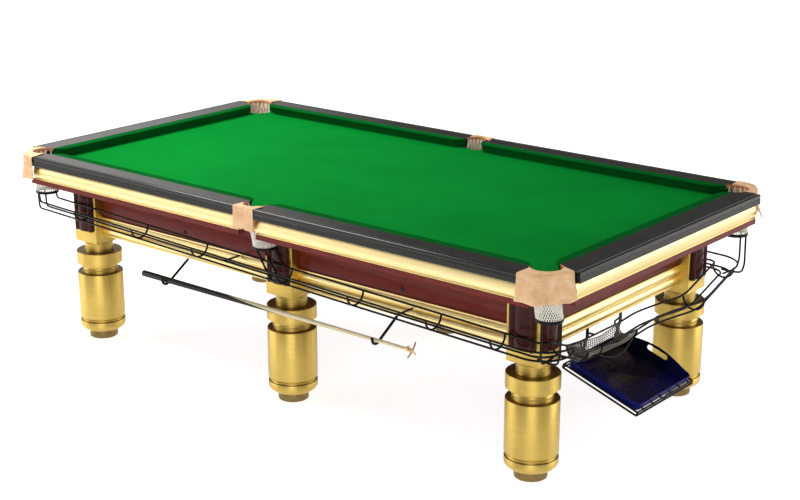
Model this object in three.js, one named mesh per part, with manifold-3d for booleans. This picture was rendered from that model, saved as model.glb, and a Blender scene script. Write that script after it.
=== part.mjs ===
// Nine-foot pool table: slate bed on a wooden cabinet, six turned metal legs with levelling feet,
// leather pockets, wire ball returns on both sides and a lift-out ball tray at one end.
// Millimetres, +Z up. +X runs along the table towards the ball tray. The near side is -Y.
import * as THREE from 'three';
import { mergeVertices } from 'three/addons/utils/BufferGeometryUtils.js';
import Module from 'manifold-3d';

const wasm = await Module();
wasm.setup();

// ---- Driving dimensions -------------------------------------------------------------------
const gap = 0.3; // clearance between pieces that touch
const tableLength = 2830, tableWidth = 1530; // over the top rails
const playLength = 2540, playWidth = 1270; // cushion nose to cushion nose
const railTop = 845, bedTop = 805, slateThickness = 30, clothThickness = 1;
const cushionDepth = 42, noseHeight = 36.5; // of the cushion, and of its nose above the bed
const boardTop = 745, boardBottom = 725; // the cabinet board whose edge shows under the bands
const bandInset = 12, boardInset = 15; // in from the outer face of the top rails
const bandThickness = 28;
const railEnd = 130; // from the outer corner of the table to the end of each top rail
const pocketRadius = 56, leatherThickness = 6, leatherTop = 850, leatherBottom = 745, leatherProud = 3;
const cornerPocket = { x: 1296, y: 656 }, sidePocket = { x: 0, y: 704, radius: 43 };
const sideLeatherThickness = 3, cornerChamfer = 108, cornerRounding = 33;
const legX = 1156, legY = 512, blockHalf = 70, blockBottom = 444, legSegments = 16;
const footRadius = 61, footHeight = 36, studRadius = 12;
const apronFace = 532, apronThickness = 18, apronBottom = 480, mouldingTop = 561, mouldingBottom = 478;
const returnY = 652, returnRadius = 45, wireRadius = 3; // the wire channel that balls roll down
const ringTop = 672, ringBottom = 660, cornerRingX = 1310;
const returnHigh = 583, returnLow = 505; // lowest line of the channel, as far as its corner
// From the corner each channel drops to the collector. [x, y, lowest line], and a hoop where marked true.
const nearRun = [
  [1303, -480, 466, false], [1283, -430, 446, true], [1258, -370, 425, false], [1245, -290, 410, false],
];
const farRun = [
  [1305, 350, 428, true], [1265, 215, 421, false], [1240, 100, 414, false], [1245, -30, 407, false],
];
const collector = { x: 1245, y0: -280, y1: -40, low0: 409, low1: 408 };
const tiltDegrees = 18.6;
const rack = { innerX: 1140, innerZ: 345, depth: 330, y0: -300, y1: 90, height: 15 };
const tub = { inset: 12, wall: 3, height: 34, archHeight: 24, cornerRadius: 32, base: 5.3 };
const rest = { y: -635, z: 405, x0: -730, x1: 700, buttRadius: 13.5, tipRadius: 6.5 };
const hookX = [-590, 540], hookRadius = 17, hookWire = 4.5, hookRiseDegrees = 33, hangerY = -423;

const halfLength = tableLength / 2, halfWidth = tableWidth / 2;
const noseX = playLength / 2, noseY = playWidth / 2;
const railInnerX = noseX + cushionDepth, railInnerY = noseY + cushionDepth;
const railEndX = halfLength - railEnd, railEndY = halfWidth - railEnd;
const sideRailEnd = sidePocket.radius + sideLeatherThickness;
const slateBottom = bedTop - clothThickness - slateThickness;
const tilt = THREE.MathUtils.degToRad(tiltDegrees);

// ---- Colours and finishes -----------------------------------------------------------------
function finish(color, roughness, metalness) {
  return new THREE.MeshStandardMaterial({ color, roughness, metalness });
}


const look = {
  blackRail: finish(0x232122, 0.4, 0),
  gold: finish(0xd9bd62, 0.35, 0.9),
  paleGold: finish(0xe8d493, 0.4, 0.6),
  burgundy: finish(0x5a1c22, 0.25, 0),
  cloth: finish(0x008c34, 0.95, 0),
  slate: finish(0x54595c, 0.7, 0),
  timber: finish(0x9a7448, 0.7, 0),
  leather: finish(0xd9a87e, 0.8, 0),
  wire: finish(0x151515, 0.4, 0.3),
  tray: finish(0x141a4c, 0.3, 0),
  footGold: finish(0x6b5220, 0.4, 0.8),
  restWood: finish(0xd8cba4, 0.4, 0),
};

// ---- Solid helpers ------------------------------------------------------------------------
function toSolid(geometry) {
  const bare = geometry.clone();
  for (const name of Object.keys(bare.attributes)) if (name !== 'position') bare.deleteAttribute(name);
  const merged = mergeVertices(bare, 1e-4);
  const vertProperties = new Float32Array(merged.attributes.position.array);
  const triVerts = new Uint32Array(merged.index.array);
  return new wasm.Manifold(new wasm.Mesh({ numProp: 3, vertProperties, triVerts }));
}

function toGeometry(solid) {
  const result = solid.getMesh();
  const geometry = new THREE.BufferGeometry();
  geometry.setAttribute('position', new THREE.BufferAttribute(new Float32Array(result.vertProperties), 3));
  geometry.setIndex(new THREE.BufferAttribute(new Uint32Array(result.triVerts), 1));
  geometry.computeVertexNormals();
  return geometry;
}

const join = (solids) => solids.reduce((whole, solid) => whole.add(solid));
const cut = (solid, tools) => tools.reduce((rest_, tool) => rest_.subtract(tool), solid);

function box(x0, x1, y0, y1, z0, z1) {
  const geometry = new THREE.BoxGeometry(x1 - x0, y1 - y0, z1 - z0);
  return toSolid(geometry.translate((x0 + x1) / 2, (y0 + y1) / 2, (z0 + z1) / 2));
}

// The box between two opposite corners, given in either order.
function boxBetween(a, b) {
  const low = a.map((value, i) => Math.min(value, b[i])), high = a.map((value, i) => Math.max(value, b[i]));
  return box(low[0], high[0], low[1], high[1], low[2], high[2]);
}

function outline(points) {
  return new THREE.Shape(points.map(([u, v]) => new THREE.Vector2(u, v)));
}

function prism(shape, z0, z1, curveSegments = 12) {
  const geometry = new THREE.ExtrudeGeometry(shape, { depth: z1 - z0, bevelEnabled: false, curveSegments });
  return toSolid(geometry.translate(0, 0, z0));
}

function drum(x, y, radius, z0, z1, segments = 20) {
  const geometry = new THREE.CylinderGeometry(radius, radius, z1 - z0, segments).rotateX(Math.PI / 2);
  return toSolid(geometry.translate(x, y, (z0 + z1) / 2));
}

// A section given as [y, z] points, run along X from x0 to x1.
function beamAlongX(points, x0, x1) {
  const geometry = new THREE.ExtrudeGeometry(outline(points), { depth: x1 - x0, bevelEnabled: false });
  const axes = new THREE.Matrix4().set(0, 0, 1, x0, 1, 0, 0, 0, 0, 1, 0, 0, 0, 0, 0, 1);
  return toSolid(geometry.applyMatrix4(axes));
}

// The same for a section given as [x, z] points, run along Y.
function beamAlongY(points, y0, y1) {
  const geometry = new THREE.ExtrudeGeometry(outline(points), { depth: y1 - y0, bevelEnabled: false });
  const axes = new THREE.Matrix4().set(1, 0, 0, 0, 0, 0, -1, y1, 0, 1, 0, 0, 0, 0, 0, 1);
  return toSolid(geometry.applyMatrix4(axes));
}

const vector = (x, y, z) => new THREE.Vector3(x, y, z);

function roundSection(radius, sides) {
  return outline(Array.from({ length: sides }, (_, i) => {
    const angle = (2 * Math.PI * i) / sides;
    return [radius * Math.cos(angle), radius * Math.sin(angle)];
  }));
}

// A path of straight runs. At each corner the section stands square to the corner's bisector.
class BentPath extends THREE.Curve {
  constructor(points) {
    super();
    this.points = points;
  }

  getPoint(t, target = new THREE.Vector3()) {
    const last = this.points.length - 1, place = t * last;
    const index = Math.min(Math.floor(place + 1e-9), last - 1);
    return target.lerpVectors(this.points[index], this.points[index + 1], place - index);
  }

  getPointAt(u, target) {
    return this.getPoint(u, target);
  }

  getTangentAt(u, target = new THREE.Vector3()) {
    const last = this.points.length - 1, index = Math.round(u * last), here = this.points[index];
    const into = here.clone().sub(this.points[Math.max(index - 1, 0)]).normalize();
    const out = this.points[Math.min(index + 1, last)].clone().sub(here).normalize();
    return target.addVectors(into, out).normalize();
  }
}

function wire(points, radius = wireRadius, wireSides = 4) {
  const options = { steps: points.length - 1, bevelEnabled: false, extrudePath: new BentPath(points) };
  return toSolid(new THREE.ExtrudeGeometry(roundSection(radius, wireSides), options));
}

// Points on an arc about centre, in the plane of the two unit directions u and v.
function arcPoints(centre, radius, u, v, from, to, steps) {
  return Array.from({ length: steps + 1 }, (_, i) => {
    const angle = THREE.MathUtils.lerp(from, to, i / steps);
    const along = radius * Math.cos(angle), up = radius * Math.sin(angle);
    return centre.clone().addScaledVector(u, along).addScaledVector(v, up);
  });
}

const table = new THREE.Group();

function addPart(name, shape, material) {
  const mesh = new THREE.Mesh(shape.isBufferGeometry ? shape : toGeometry(shape), material);
  mesh.name = name;
  table.add(mesh);
  return mesh;
}

const ends = [['head', -1], ['foot', 1]];
const sides = [['near', -1], ['far', 1]];

const quarters = ends.flatMap(([endName, e]) => sides.map(([sideName, s]) => ({ endName, e, sideName, s })));

// ---- Openings that the pockets make through the slate, cloth and cabinet board ------------
const reach = 200; // well past the outside of the table

function cornerOpening(endSign, sideSign, radius, z0, z1) {
  const past = boxBetween([endSign * railEndX, sideSign * railEndY, z0],
    [endSign * (railEndX + reach), sideSign * (railEndY + reach), z1]);
  return join([drum(endSign * cornerPocket.x, sideSign * cornerPocket.y, radius, z0, z1), past]);
}

function sideOpening(sideSign, radius, z0, z1) {
  const y = sideSign * sidePocket.y, half = sideRailEnd;
  const past = boxBetween([-half, y, z0], [half, y + sideSign * reach, z1]);
  return join([drum(0, y, radius, z0, z1), past]);
}

function allOpenings(extra, z0, z1) {
  const corners = quarters.map(({ e, s }) => cornerOpening(e, s, pocketRadius + extra, z0, z1));
  return [...corners, ...sides.map(([, s]) => sideOpening(s, sidePocket.radius + extra, z0, z1))];
}

// ---- Bed: cabinet board, bearers, three slates and the cloth ------------------------------
function cabinetBoard() {
  const x = halfLength - boardInset, y = halfWidth - boardInset;
  const openHalfX = 1050, openHalfY = 400; // the board is a wide border round one large opening
  const plate = box(-x, x, -y, y, boardBottom, boardTop);
  const middle = box(-openHalfX, openHalfX, -openHalfY, openHalfY, boardBottom - 1, boardTop + 1);
  return cut(plate, [middle, ...allOpenings(leatherThickness, boardBottom - 1, boardTop + 1)]);
}

// A ladder of flat bearers on the board, with three deep webs hanging through the board's middle.
function bearerFrame() {
  const outerX = 1245, outerY = 605, member = 90, webBottom = 620, webHalf = 30, webEnd = 395, spacing = 620;
  const z0 = boardTop + gap, z1 = slateBottom - gap;
  const ladder = cut(box(-outerX, outerX, -outerY, outerY, z0, z1),
    [box(-outerX + member, outerX - member, -outerY + member, outerY - member, z0 - 1, z1 + 1)]);
  const crossings = [-spacing, 0, spacing].flatMap((x) => [
    box(x - member / 2, x + member / 2, -outerY + member - 1, outerY - member + 1, z0, z1),
    box(x - webHalf, x + webHalf, -webEnd, webEnd, webBottom, z0 + 1),
  ]);
  return join([ladder, ...crossings]);
}

// The slates and the cloth stop short of the bands' backs.
const slateInset = bandInset + bandThickness + 3;
const slateHalfX = halfLength - slateInset, slateHalfY = halfWidth - slateInset;

function bedSlab(x0, x1, z0, z1, openingExtra) {
  const y = slateHalfY;
  return cut(box(x0, x1, -y, y, z0, z1), allOpenings(openingExtra, z0 - 1, z1 + 1));
}

function addBed() {
  const joint = 457, slateTop = bedTop - clothThickness - gap, slateClearance = 2, clothClearance = 1;
  addPart('cabinet_board', cabinetBoard(), look.burgundy);
  addPart('bearer_frame', bearerFrame(), look.timber);
  const slate = (x0, x1) => bedSlab(x0, x1, slateBottom, slateTop, slateClearance);
  addPart('slate_head', slate(-slateHalfX, -joint - gap), look.slate);
  addPart('slate_middle', slate(-joint, joint), look.slate);
  addPart('slate_foot', slate(joint + gap, slateHalfX), look.slate);
  addPart('bed_cloth', bedSlab(-slateHalfX, slateHalfX, bedTop - clothThickness, bedTop, clothClearance),
    look.cloth);
}

// ---- Top rails, bands and cushions --------------------------------------------------------
// Sections are [distance from the table's middle, height]. In and out are the section's limits.
const railSection = (inner, outer) => [
  [inner, bedTop + gap], [outer - 3, bedTop + gap], [outer, bedTop + 4], [outer, railTop - 10],
  [outer - 3, railTop - 3], [outer - 9, railTop], [inner, railTop],
];
const bandSection = (outer) => [
  [outer - bandThickness, boardTop + gap], [outer - 6, boardTop + gap], [outer - 1, boardTop + 10],
  [outer, boardTop + 30], [outer - 1, boardTop + 48], [outer - 6, bedTop], [outer - bandThickness, bedTop],
];
const cushionSection = (nose) => [
  [nose + cushionDepth - gap, bedTop + 1], [nose + cushionDepth - gap, railTop - 0.5],
  [nose + 14, railTop - 1], [nose + 2, bedTop + noseHeight + 2.5], [nose, bedTop + noseHeight],
  [nose + 1, bedTop + noseHeight - 4], [nose + 17, bedTop + 1],
];
const turned = (section) => section.map(([across, z]) => [-across, z]).reverse();
const onSide = (section, sign) => (sign > 0 ? section : turned(section));

// The bore that each leather lines, which hollows the ends of the rails beside it.
function pocketBores(z0, z1) {
  const lined = pocketRadius + leatherThickness + gap;
  return quarters.map(({ e, s }) => drum(e * cornerPocket.x, s * cornerPocket.y, lined, z0, z1));
}

const boreBottom = 700, boreTop = 900; // through everything that a pocket passes

function addLongRails() {
  for (const { sideName, s, endName, e } of quarters) {
    const x0 = e < 0 ? -railEndX : sideRailEnd, x1 = e < 0 ? -sideRailEnd : railEndX;
    const rail = beamAlongX(onSide(railSection(railInnerY + gap, halfWidth), s), x0, x1);
    addPart(`rail_${sideName}_${endName}`, cut(rail, pocketBores(boreBottom, boreTop)), look.blackRail);
    const band = beamAlongX(onSide(bandSection(halfWidth - bandInset), s), x0, x1);
    addPart(`band_${sideName}_${endName}`, cut(band, pocketBores(boreBottom, boreTop)), look.paleGold);
  }
}

function addEndRails() {
  for (const [endName, e] of ends) {
    const rail = beamAlongY(onSide(railSection(railInnerX + gap, halfLength), e), -railEndY, railEndY);
    addPart(`rail_${endName}`, cut(rail, pocketBores(boreBottom, boreTop)), look.blackRail);
    const band = beamAlongY(onSide(bandSection(halfLength - bandInset), e), -railEndY, railEndY);
    addPart(`band_${endName}`, cut(band, pocketBores(boreBottom, boreTop)), look.paleGold);
  }
}

// Plan of a cushion: back edge from b0 to b1, and a nose that curves back into the pocket at each end.
function cushionPlan(b0, b1, curve0, curve1, back) {
  const shape = new THREE.Shape();
  shape.moveTo(b0, back);
  shape.quadraticCurveTo(b0 + curve0 * 0.3, -1, b0 + curve0, -1);
  shape.lineTo(b1 - curve1, -1);
  shape.quadraticCurveTo(b1 - curve1 * 0.3, -1, b1, back);
  return shape;
}

function addCushions() {
  const z0 = bedTop - 5, z1 = railTop + 5, back = cushionDepth + 1;
  const cornerCurve = 75, sideCurve = 40, backX = 1247, backY = 607;
  const options = { depth: z1 - z0, bevelEnabled: false, curveSegments: 5 };
  for (const { sideName, s, endName, e } of quarters) {
    const bar = beamAlongX(onSide(cushionSection(noseY), s), -noseX, noseX);
    const plan = cushionPlan(sideRailEnd + 2, backX, sideCurve, cornerCurve, back);
    const geometry = new THREE.ExtrudeGeometry(plan, options).translate(0, noseY, z0);
    geometry.applyMatrix4(new THREE.Matrix4().makeScale(e, s, 1));
    const trim = toSolid(e * s < 0 ? flipped(geometry) : geometry);
    addPart(`cushion_${sideName}_${endName}`, bar.intersect(trim), look.cloth);
  }
  for (const [endName, e] of ends) {
    const bar = beamAlongY(onSide(cushionSection(noseX), e), -noseY, noseY);
    const plan = cushionPlan(-backY, backY, cornerCurve, cornerCurve, back);
    const geometry = new THREE.ExtrudeGeometry(plan, options).translate(0, noseX, z0);
    geometry.rotateZ(e > 0 ? -Math.PI / 2 : Math.PI / 2);
    addPart(`cushion_${endName}`, bar.intersect(toSolid(geometry)), look.cloth);
  }
}

// Turns the faces of a mirrored geometry the right way out again.
function flipped(geometry) {
  const position = geometry.attributes.position;
  for (let i = 0; i < position.count; i += 3) {
    const first = new THREE.Vector3().fromBufferAttribute(position, i + 1);
    const second = new THREE.Vector3().fromBufferAttribute(position, i + 2);
    position.setXYZ(i + 1, second.x, second.y, second.z);
    position.setXYZ(i + 2, first.x, first.y, first.z);
  }
  return geometry;
}

// ---- Pocket leathers ----------------------------------------------------------------------
// The corner leather fills the corner of the table outside the pocket and lines the rails' ends.
const boreFloor = bedTop + gap + 0.2; // the linings stand just clear of the bed

function cornerLeather(e, s) {
  const outerX = halfLength + leatherProud, outerY = halfWidth + leatherProud;
  const startX = railEndX + gap, startY = railEndY + gap;
  const shape = new THREE.Shape();
  shape.moveTo(startX, startY);
  shape.lineTo(outerX, startY);
  shape.lineTo(outerX, outerY - cornerChamfer);
  shape.quadraticCurveTo(outerX - cornerRounding, outerY - cornerRounding, outerX - cornerChamfer, outerY);
  shape.lineTo(startX, outerY);
  const geometry = new THREE.ExtrudeGeometry(shape,
    { depth: leatherTop - leatherBottom - gap, bevelEnabled: false, curveSegments: 4 });
  geometry.translate(0, 0, leatherBottom + gap).applyMatrix4(new THREE.Matrix4().makeScale(e, s, 1));
  const block = toSolid(e * s < 0 ? flipped(geometry) : geometry);
  const x = e * cornerPocket.x, y = s * cornerPocket.y, z0 = boreFloor;
  const lining = drum(x, y, pocketRadius + leatherThickness, z0, railTop).intersect(join([
    boxBetween([x - e * reach, s * (railInnerY + 2), z0], [e * outerX, s * outerY, railTop]),
    boxBetween([e * (railInnerX + 2), y - s * reach, z0], [e * outerX, s * outerY, railTop]),
  ]));
  return cut(join([block, lining]), [drum(x, y, pocketRadius, boreBottom, boreTop)]);
}

function sideLeather(s) {
  const outer = halfWidth + leatherProud, half = sideRailEnd - gap, y0 = railInnerY + 2;
  const { y, radius } = sidePocket, backOfSkirt = y + 8;
  const block = boxBetween([-half, s * y0, leatherBottom + 10], [half, s * outer, leatherTop]);
  const mouth = boxBetween([-radius, s * (y0 - 5), boreBottom], [radius, s * y, boreTop]);
  const underBed = boxBetween([-half - 1, s * (y0 - 5), boreBottom], [half + 1, s * backOfSkirt, boreFloor]);
  return cut(block, [drum(0, s * y, radius, boreBottom, boreTop), mouth, underBed]);
}

function addLeathers() {
  for (const { sideName, s, endName, e } of quarters) {
    addPart(`leather_${sideName}_${endName}`, cornerLeather(e, s), look.leather);
  }
  for (const [sideName, s] of sides) addPart(`leather_${sideName}_middle`, sideLeather(s), look.leather);
}

// ---- Cabinet sides ------------------------------------------------------------------------
const apronSection = () => [
  [apronFace - apronThickness, apronBottom], [apronFace, apronBottom],
  [apronFace, boardBottom - gap], [apronFace - apronThickness, boardBottom - gap],
];
const mouldingSection = () => {
  const y = apronFace + gap, z = mouldingBottom, h = mouldingTop - mouldingBottom;
  return [[y, z], [y + 8, z], [y + 13, z + 10], [y + 13, z + h * 0.36], [y + 9, z + h * 0.49],
    [y + 13, z + h * 0.62], [y + 13, z + h * 0.86], [y + 8, z + h], [y, z + h]];
};

function addAprons() {
  const x0 = blockHalf + gap, x1 = legX - blockHalf - gap, yEnd = legY - blockHalf - gap;
  const shift = legX - legY; // the end panels stand as far from their leg blocks as the side ones do
  const away = (section) => section.map(([across, z]) => [across + shift, z]);
  for (const { sideName, s, endName, e } of quarters) {
    const from = e < 0 ? -x1 : x0, to = e < 0 ? -x0 : x1;
    addPart(`apron_${sideName}_${endName}`, beamAlongX(onSide(apronSection(), s), from, to), look.burgundy);
    addPart(`moulding_${sideName}_${endName}`, beamAlongX(onSide(mouldingSection(), s), from, to), look.gold);
  }
  for (const [endName, e] of ends) {
    addPart(`apron_${endName}`, beamAlongY(onSide(away(apronSection()), e), -yEnd, yEnd), look.burgundy);
    addPart(`moulding_${endName}`, beamAlongY(onSide(away(mouldingSection()), e), -yEnd, yEnd), look.gold);
  }
}

// ---- Legs and levelling feet --------------------------------------------------------------
// [radius, height] round the outside from the stud's hole up, and back down the hollow inside.
const legOutside = [
  [studRadius + 0.6, footHeight + gap], [90, footHeight + gap], [98.5, 46], [98.5, 83], [92, 86], [92, 97],
  [99, 100], [99, 304], [75, 304], [75, 344], [99.5, 344], [99.5, 400], [62, 400], [62, blockBottom + 3],
];
const legInside = [
  [0, blockBottom + 3], [0, 436], [56, 436], [56, 405], [69, 350], [69, 310], [93, 298], [93, 52],
  [studRadius + 0.6, 52],
];

function legSolid() {
  const closed = [...legOutside, ...legInside, legOutside[0]].map(([r, z]) => new THREE.Vector2(r, z));
  const shaft = toSolid(new THREE.LatheGeometry(closed, legSegments).rotateX(Math.PI / 2));
  const wall = 5, inner = blockHalf - wall, top = boardBottom - gap;
  const block = cut(box(-blockHalf, blockHalf, -blockHalf, blockHalf, blockBottom, top),
    [box(-inner, inner, -inner, inner, blockBottom + wall, top + 1)]);
  return join([shaft, block]);
}

function footSolid() {
  const profile = [[0, 0], [footRadius - 4, 0], [footRadius, 4], [footRadius, footHeight - 3],
    [footRadius - 3, footHeight], [studRadius, footHeight], [studRadius, 110], [0, 110]];
  const points = profile.map(([r, z]) => new THREE.Vector2(r, z));
  return toSolid(new THREE.LatheGeometry(points, legSegments).rotateX(Math.PI / 2));
}

function addLegs() {
  const legGeometry = toGeometry(legSolid()), footGeometry = toGeometry(footSolid());
  const places = [['head', -legX], ['middle', 0], ['foot', legX]];
  for (const [sideName, s] of sides) for (const [placeName, x] of places) {
    const leg = addPart(`leg_${sideName}_${placeName}`, legGeometry, look.gold);
    const foot = addPart(`levelling_foot_${sideName}_${placeName}`, footGeometry, look.footGold);
    leg.position.set(x, s * legY, 0);
    foot.position.set(x, s * legY, 0);
  }
}

// ---- Wire ball returns --------------------------------------------------------------------
// Offsets of the four wires from the channel's centre line: across it, and above its lowest line.
const lowAcross = 19, lowRise = 4;
const channelWires = [[-returnRadius, returnRadius], [-lowAcross, lowRise], [lowAcross, lowRise],
  [returnRadius, returnRadius]];
const xDirection = vector(1, 0, 0), yDirection = vector(0, 1, 0), zDirection = vector(0, 0, 1);

// A half-round hoop under the channel, across the direction given.
function hoop(x, y, low, across) {
  const centre = vector(x, y, low + returnRadius);
  return wire(arcPoints(centre, returnRadius, across, zDirection, -Math.PI, 0, 4));
}

function ring(x, y) {
  const inner = returnRadius - 4, outer = returnRadius + 4;
  const profile = [[inner, ringBottom], [outer, ringBottom], [outer, ringTop], [inner, ringTop]];
  const points = [...profile, profile[0]].map(([r, z]) => new THREE.Vector2(r, z));
  return toSolid(new THREE.LatheGeometry(points, 12).rotateX(Math.PI / 2).translate(x, y, 0));
}

// The far return is the near one's mirror image as far as the corner.
function ballReturn(s, run) {
  const startX = -cornerRingX - returnRadius, cornerX = 1225, cornerRadius = cornerRingX - cornerX;
  const cornerY = s * (returnY - cornerRadius);
  const lowAt = (x) => THREE.MathUtils.mapLinear(x, startX, cornerX, returnHigh, returnLow);
  const parts = [];
  for (const [across, rise] of channelWires) {
    const y = s * (returnY + across), high = rise > lowRise;
    const beginX = high ? -cornerRingX : startX + 4;
    const begin = vector(beginX, y, lowAt(beginX) + rise);
    const centre = vector(cornerX, cornerY, returnLow + rise);
    const bend = arcPoints(centre, cornerRadius + across, xDirection, yDirection, s * Math.PI / 2, 0, 3);
    const descent = run.map(([x, runY, low]) => vector(x + across, runY, low + rise));
    parts.push(wire([vector(beginX, y, ringBottom + 3), begin, ...bend, ...descent]));
  }
  for (const x of [-1080, -720, -367, 95, 455, 820, 1100]) {
    parts.push(hoop(x, s * returnY, lowAt(x), yDirection));
  }
  parts.push(hoop(cornerX + cornerRadius, cornerY, returnLow, xDirection));
  for (const [x, runY, low, hooped] of run) if (hooped) parts.push(hoop(x, runY, low, xDirection));
  parts.push(...pocketGuides(s, startX, lowAt));
  return join(parts);
}

// The rings that hold the nets, and the wires that lead a ball from each ring into the channel.
function pocketGuides(s, startX, lowAt) {
  const y = s * returnY, middle = 48;
  const parts = [ring(-cornerRingX, y), ring(0, y), ring(cornerRingX, y)];
  for (const across of [-lowAcross, lowAcross]) {
    parts.push(wire([vector(-returnRadius + 4, y + across, ringBottom + 3),
      vector(middle, y + across, lowAt(middle) + lowRise)]));
  }
  for (const across of [-returnRadius, returnRadius]) {
    parts.push(wire([vector(0, y + across, ringBottom + 3),
      vector(middle, y + across, lowAt(middle) + returnRadius)]));
  }
  // Two catch loops at the last corner: down outside the ring, under it and up to the channel.
  const out = cornerRingX + returnRadius, low = returnLow - 4, outY = s * (returnY + returnRadius);
  parts.push(wire([vector(out, y, ringBottom + 3), vector(out + 2, y, low + 45), vector(out - 8, y, low + 12),
    vector(out - 30, y, low + 6), vector(1262, s * 644, returnLow + lowRise)]));
  parts.push(wire([vector(cornerRingX, outY, ringBottom + 3), vector(cornerRingX, outY + s * 2, low + 45),
    vector(cornerRingX - 4, outY - s * 12, low + 12), vector(cornerRingX - 10, outY - s * 50, low + 8),
    vector(cornerRingX - 16, s * 598, returnLow + lowRise)]));
  // Stays from the channel's inner low wire to the moulding on the cabinet's side.
  for (const x of [-250, 640]) {
    const z = lowAt(x) + lowRise;
    parts.push(wire([vector(x, y - s * lowAcross, z), vector(x, s * (apronFace + 14), z)]));
  }
  return parts;
}

// ---- Ball collector, tray rack and tray ---------------------------------------------------
// Places geometry made in the rack's own frame: x down the slope, y along the table's end, z off the slope.
const rackPlace = new THREE.Matrix4().makeRotationY(tilt).setPosition(rack.innerX, 0, rack.innerZ);
const onRack = (x, y, z) => vector(x, y, z).applyMatrix4(rackPlace);

function trayRack() {
  const { y0, y1, depth, height } = rack, parts = [];
  const middle = (y0 + y1) / 2;
  const frameAt = (z) => wire([onRack(0, middle - 2, z), onRack(0, y1, z), onRack(depth, y1, z),
    onRack(depth, y0, z), onRack(0, y0, z), onRack(0, middle, z)]);
  parts.push(frameAt(0), frameAt(height));
  for (const x of [0, depth]) for (const y of [y0, middle, y1]) {
    parts.push(wire([onRack(x, y, 0), onRack(x, y, height)]));
  }
  for (let i = 1; i < 6; i += 1) {
    const y = THREE.MathUtils.lerp(y0, y1, i / 6);
    parts.push(wire([onRack(0, y, 0), onRack(depth, y, 0)]));
  }
  // Straps from under the end apron down to the rack's inner edge, each with an arm to the collector.
  const strapX = legX - legY + apronFace - apronThickness + 6, strapTop = apronBottom - gap, kneeZ = 437;
  const armZ = 452, strapY = [-184, 44], innerX = collector.x - returnRadius;
  for (const y of strapY) {
    const strap = [[strapX, kneeZ], [strapX, strapTop], [strapX + 5, strapTop], [strapX + 5, kneeZ],
      [rack.innerX + 7, rack.innerZ + 4], [rack.innerX - 2, rack.innerZ]];
    parts.push(beamAlongY(strap, y - 8, y + 8));
  }
  parts.push(wire([vector(strapX + 3, strapY[0], armZ), vector(innerX, strapY[0], armZ)]));
  parts.push(wire([vector(strapX + 3, strapY[1], armZ), vector(strapX + 15, -20, armZ),
    vector(innerX, collector.y1 - 4, armZ)]));
  parts.push(...collectorWires());
  return join(parts);
}

function collectorWires() {
  const { x, y0, y1, low0, low1 } = collector;
  const parts = [hoop(x, y0, low0, xDirection), hoop(x, y1, low1, xDirection)];
  for (const across of [-returnRadius, returnRadius]) {
    const high = x + across;
    parts.push(wire([vector(high, y0, low0 + returnRadius), vector(high, y1, low1 + returnRadius)]));
  }
  // The lower wires spread and dip, so that the balls fall between them into the tray.
  const dip = 22, spread = 14, dipY = [-200, -120];
  for (const across of [-lowAcross - 8, lowAcross + 8]) {
    const out = across + Math.sign(across) * spread;
    parts.push(wire([vector(x + across, y0, low0 + 9), vector(x + out, dipY[0], low0 - dip),
      vector(x + out, dipY[1], low0 - dip), vector(x + across, y1, low1 + 9)]));
  }
  return parts;
}

function roundedPlan(x0, x1, y0, y1, radius) {
  const shape = new THREE.Shape();
  shape.moveTo(x0 + radius, y0);
  shape.lineTo(x1 - radius, y0);
  shape.absarc(x1 - radius, y0 + radius, radius, -Math.PI / 2, 0, false);
  shape.lineTo(x1, y1 - radius);
  shape.absarc(x1 - radius, y1 - radius, radius, 0, Math.PI / 2, false);
  shape.lineTo(x0 + radius, y1);
  shape.absarc(x0 + radius, y1 - radius, radius, Math.PI / 2, Math.PI, false);
  shape.lineTo(x0, y0 + radius);
  shape.absarc(x0 + radius, y0 + radius, radius, Math.PI, Math.PI * 1.5, false);
  return shape;
}

// An open moulded tub with a raised grip at its far end. Built flat, then tilted on to the rack.
function ballTray() {
  const x0 = tub.inset, x1 = rack.depth - tub.inset, y0 = rack.y0 + tub.inset, y1 = rack.y1 - tub.inset;
  const { wall, height, archHeight, cornerRadius, base } = tub, rim = base + height;
  const shell = prism(roundedPlan(x0, x1, y0, y1, cornerRadius), base, rim, 3);
  const inside = prism(roundedPlan(x0 + wall, x1 - wall, y0 + wall, y1 - wall, cornerRadius - wall),
    base + wall, rim + 1, 3);
  const middle = (x0 + x1) / 2, reach = (x1 - x0) / 2 - cornerRadius;
  const arch = new THREE.Shape();
  arch.moveTo(middle - reach, rim - 6);
  arch.lineTo(middle + reach, rim - 6);
  arch.lineTo(middle + reach, rim);
  arch.quadraticCurveTo(middle + reach * 0.6, rim + archHeight, middle, rim + archHeight);
  arch.quadraticCurveTo(middle - reach * 0.6, rim + archHeight, middle - reach, rim);
  const grip = new THREE.Path();
  const gripHalf = 46, gripHeight = 11;
  grip.absarc(middle - gripHalf + gripHeight, rim + 3, gripHeight, Math.PI / 2, Math.PI * 1.5, false);
  grip.absarc(middle + gripHalf - gripHeight, rim + 3, gripHeight, -Math.PI / 2, Math.PI / 2, false);
  const hole = new THREE.Shape(grip.getPoints(4));
  const gripHole = toSolid(new THREE.ExtrudeGeometry(hole, { depth: wall + 2, bevelEnabled: false })
    .rotateX(Math.PI / 2).translate(0, y1 + 1, 0));
  const archOptions = { depth: wall, bevelEnabled: false, curveSegments: 5 };
  const archSolid = toSolid(new THREE.ExtrudeGeometry(arch, archOptions)
    .rotateX(Math.PI / 2).translate(0, y1, 0));
  return join([cut(shell, [inside]), archSolid]).subtract(gripHole);
}

// ---- Rest and its hanger ------------------------------------------------------------------
const restRadiusAt = (x) => THREE.MathUtils.mapLinear(x, rest.x0, rest.x1, rest.buttRadius, rest.tipRadius);

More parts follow.
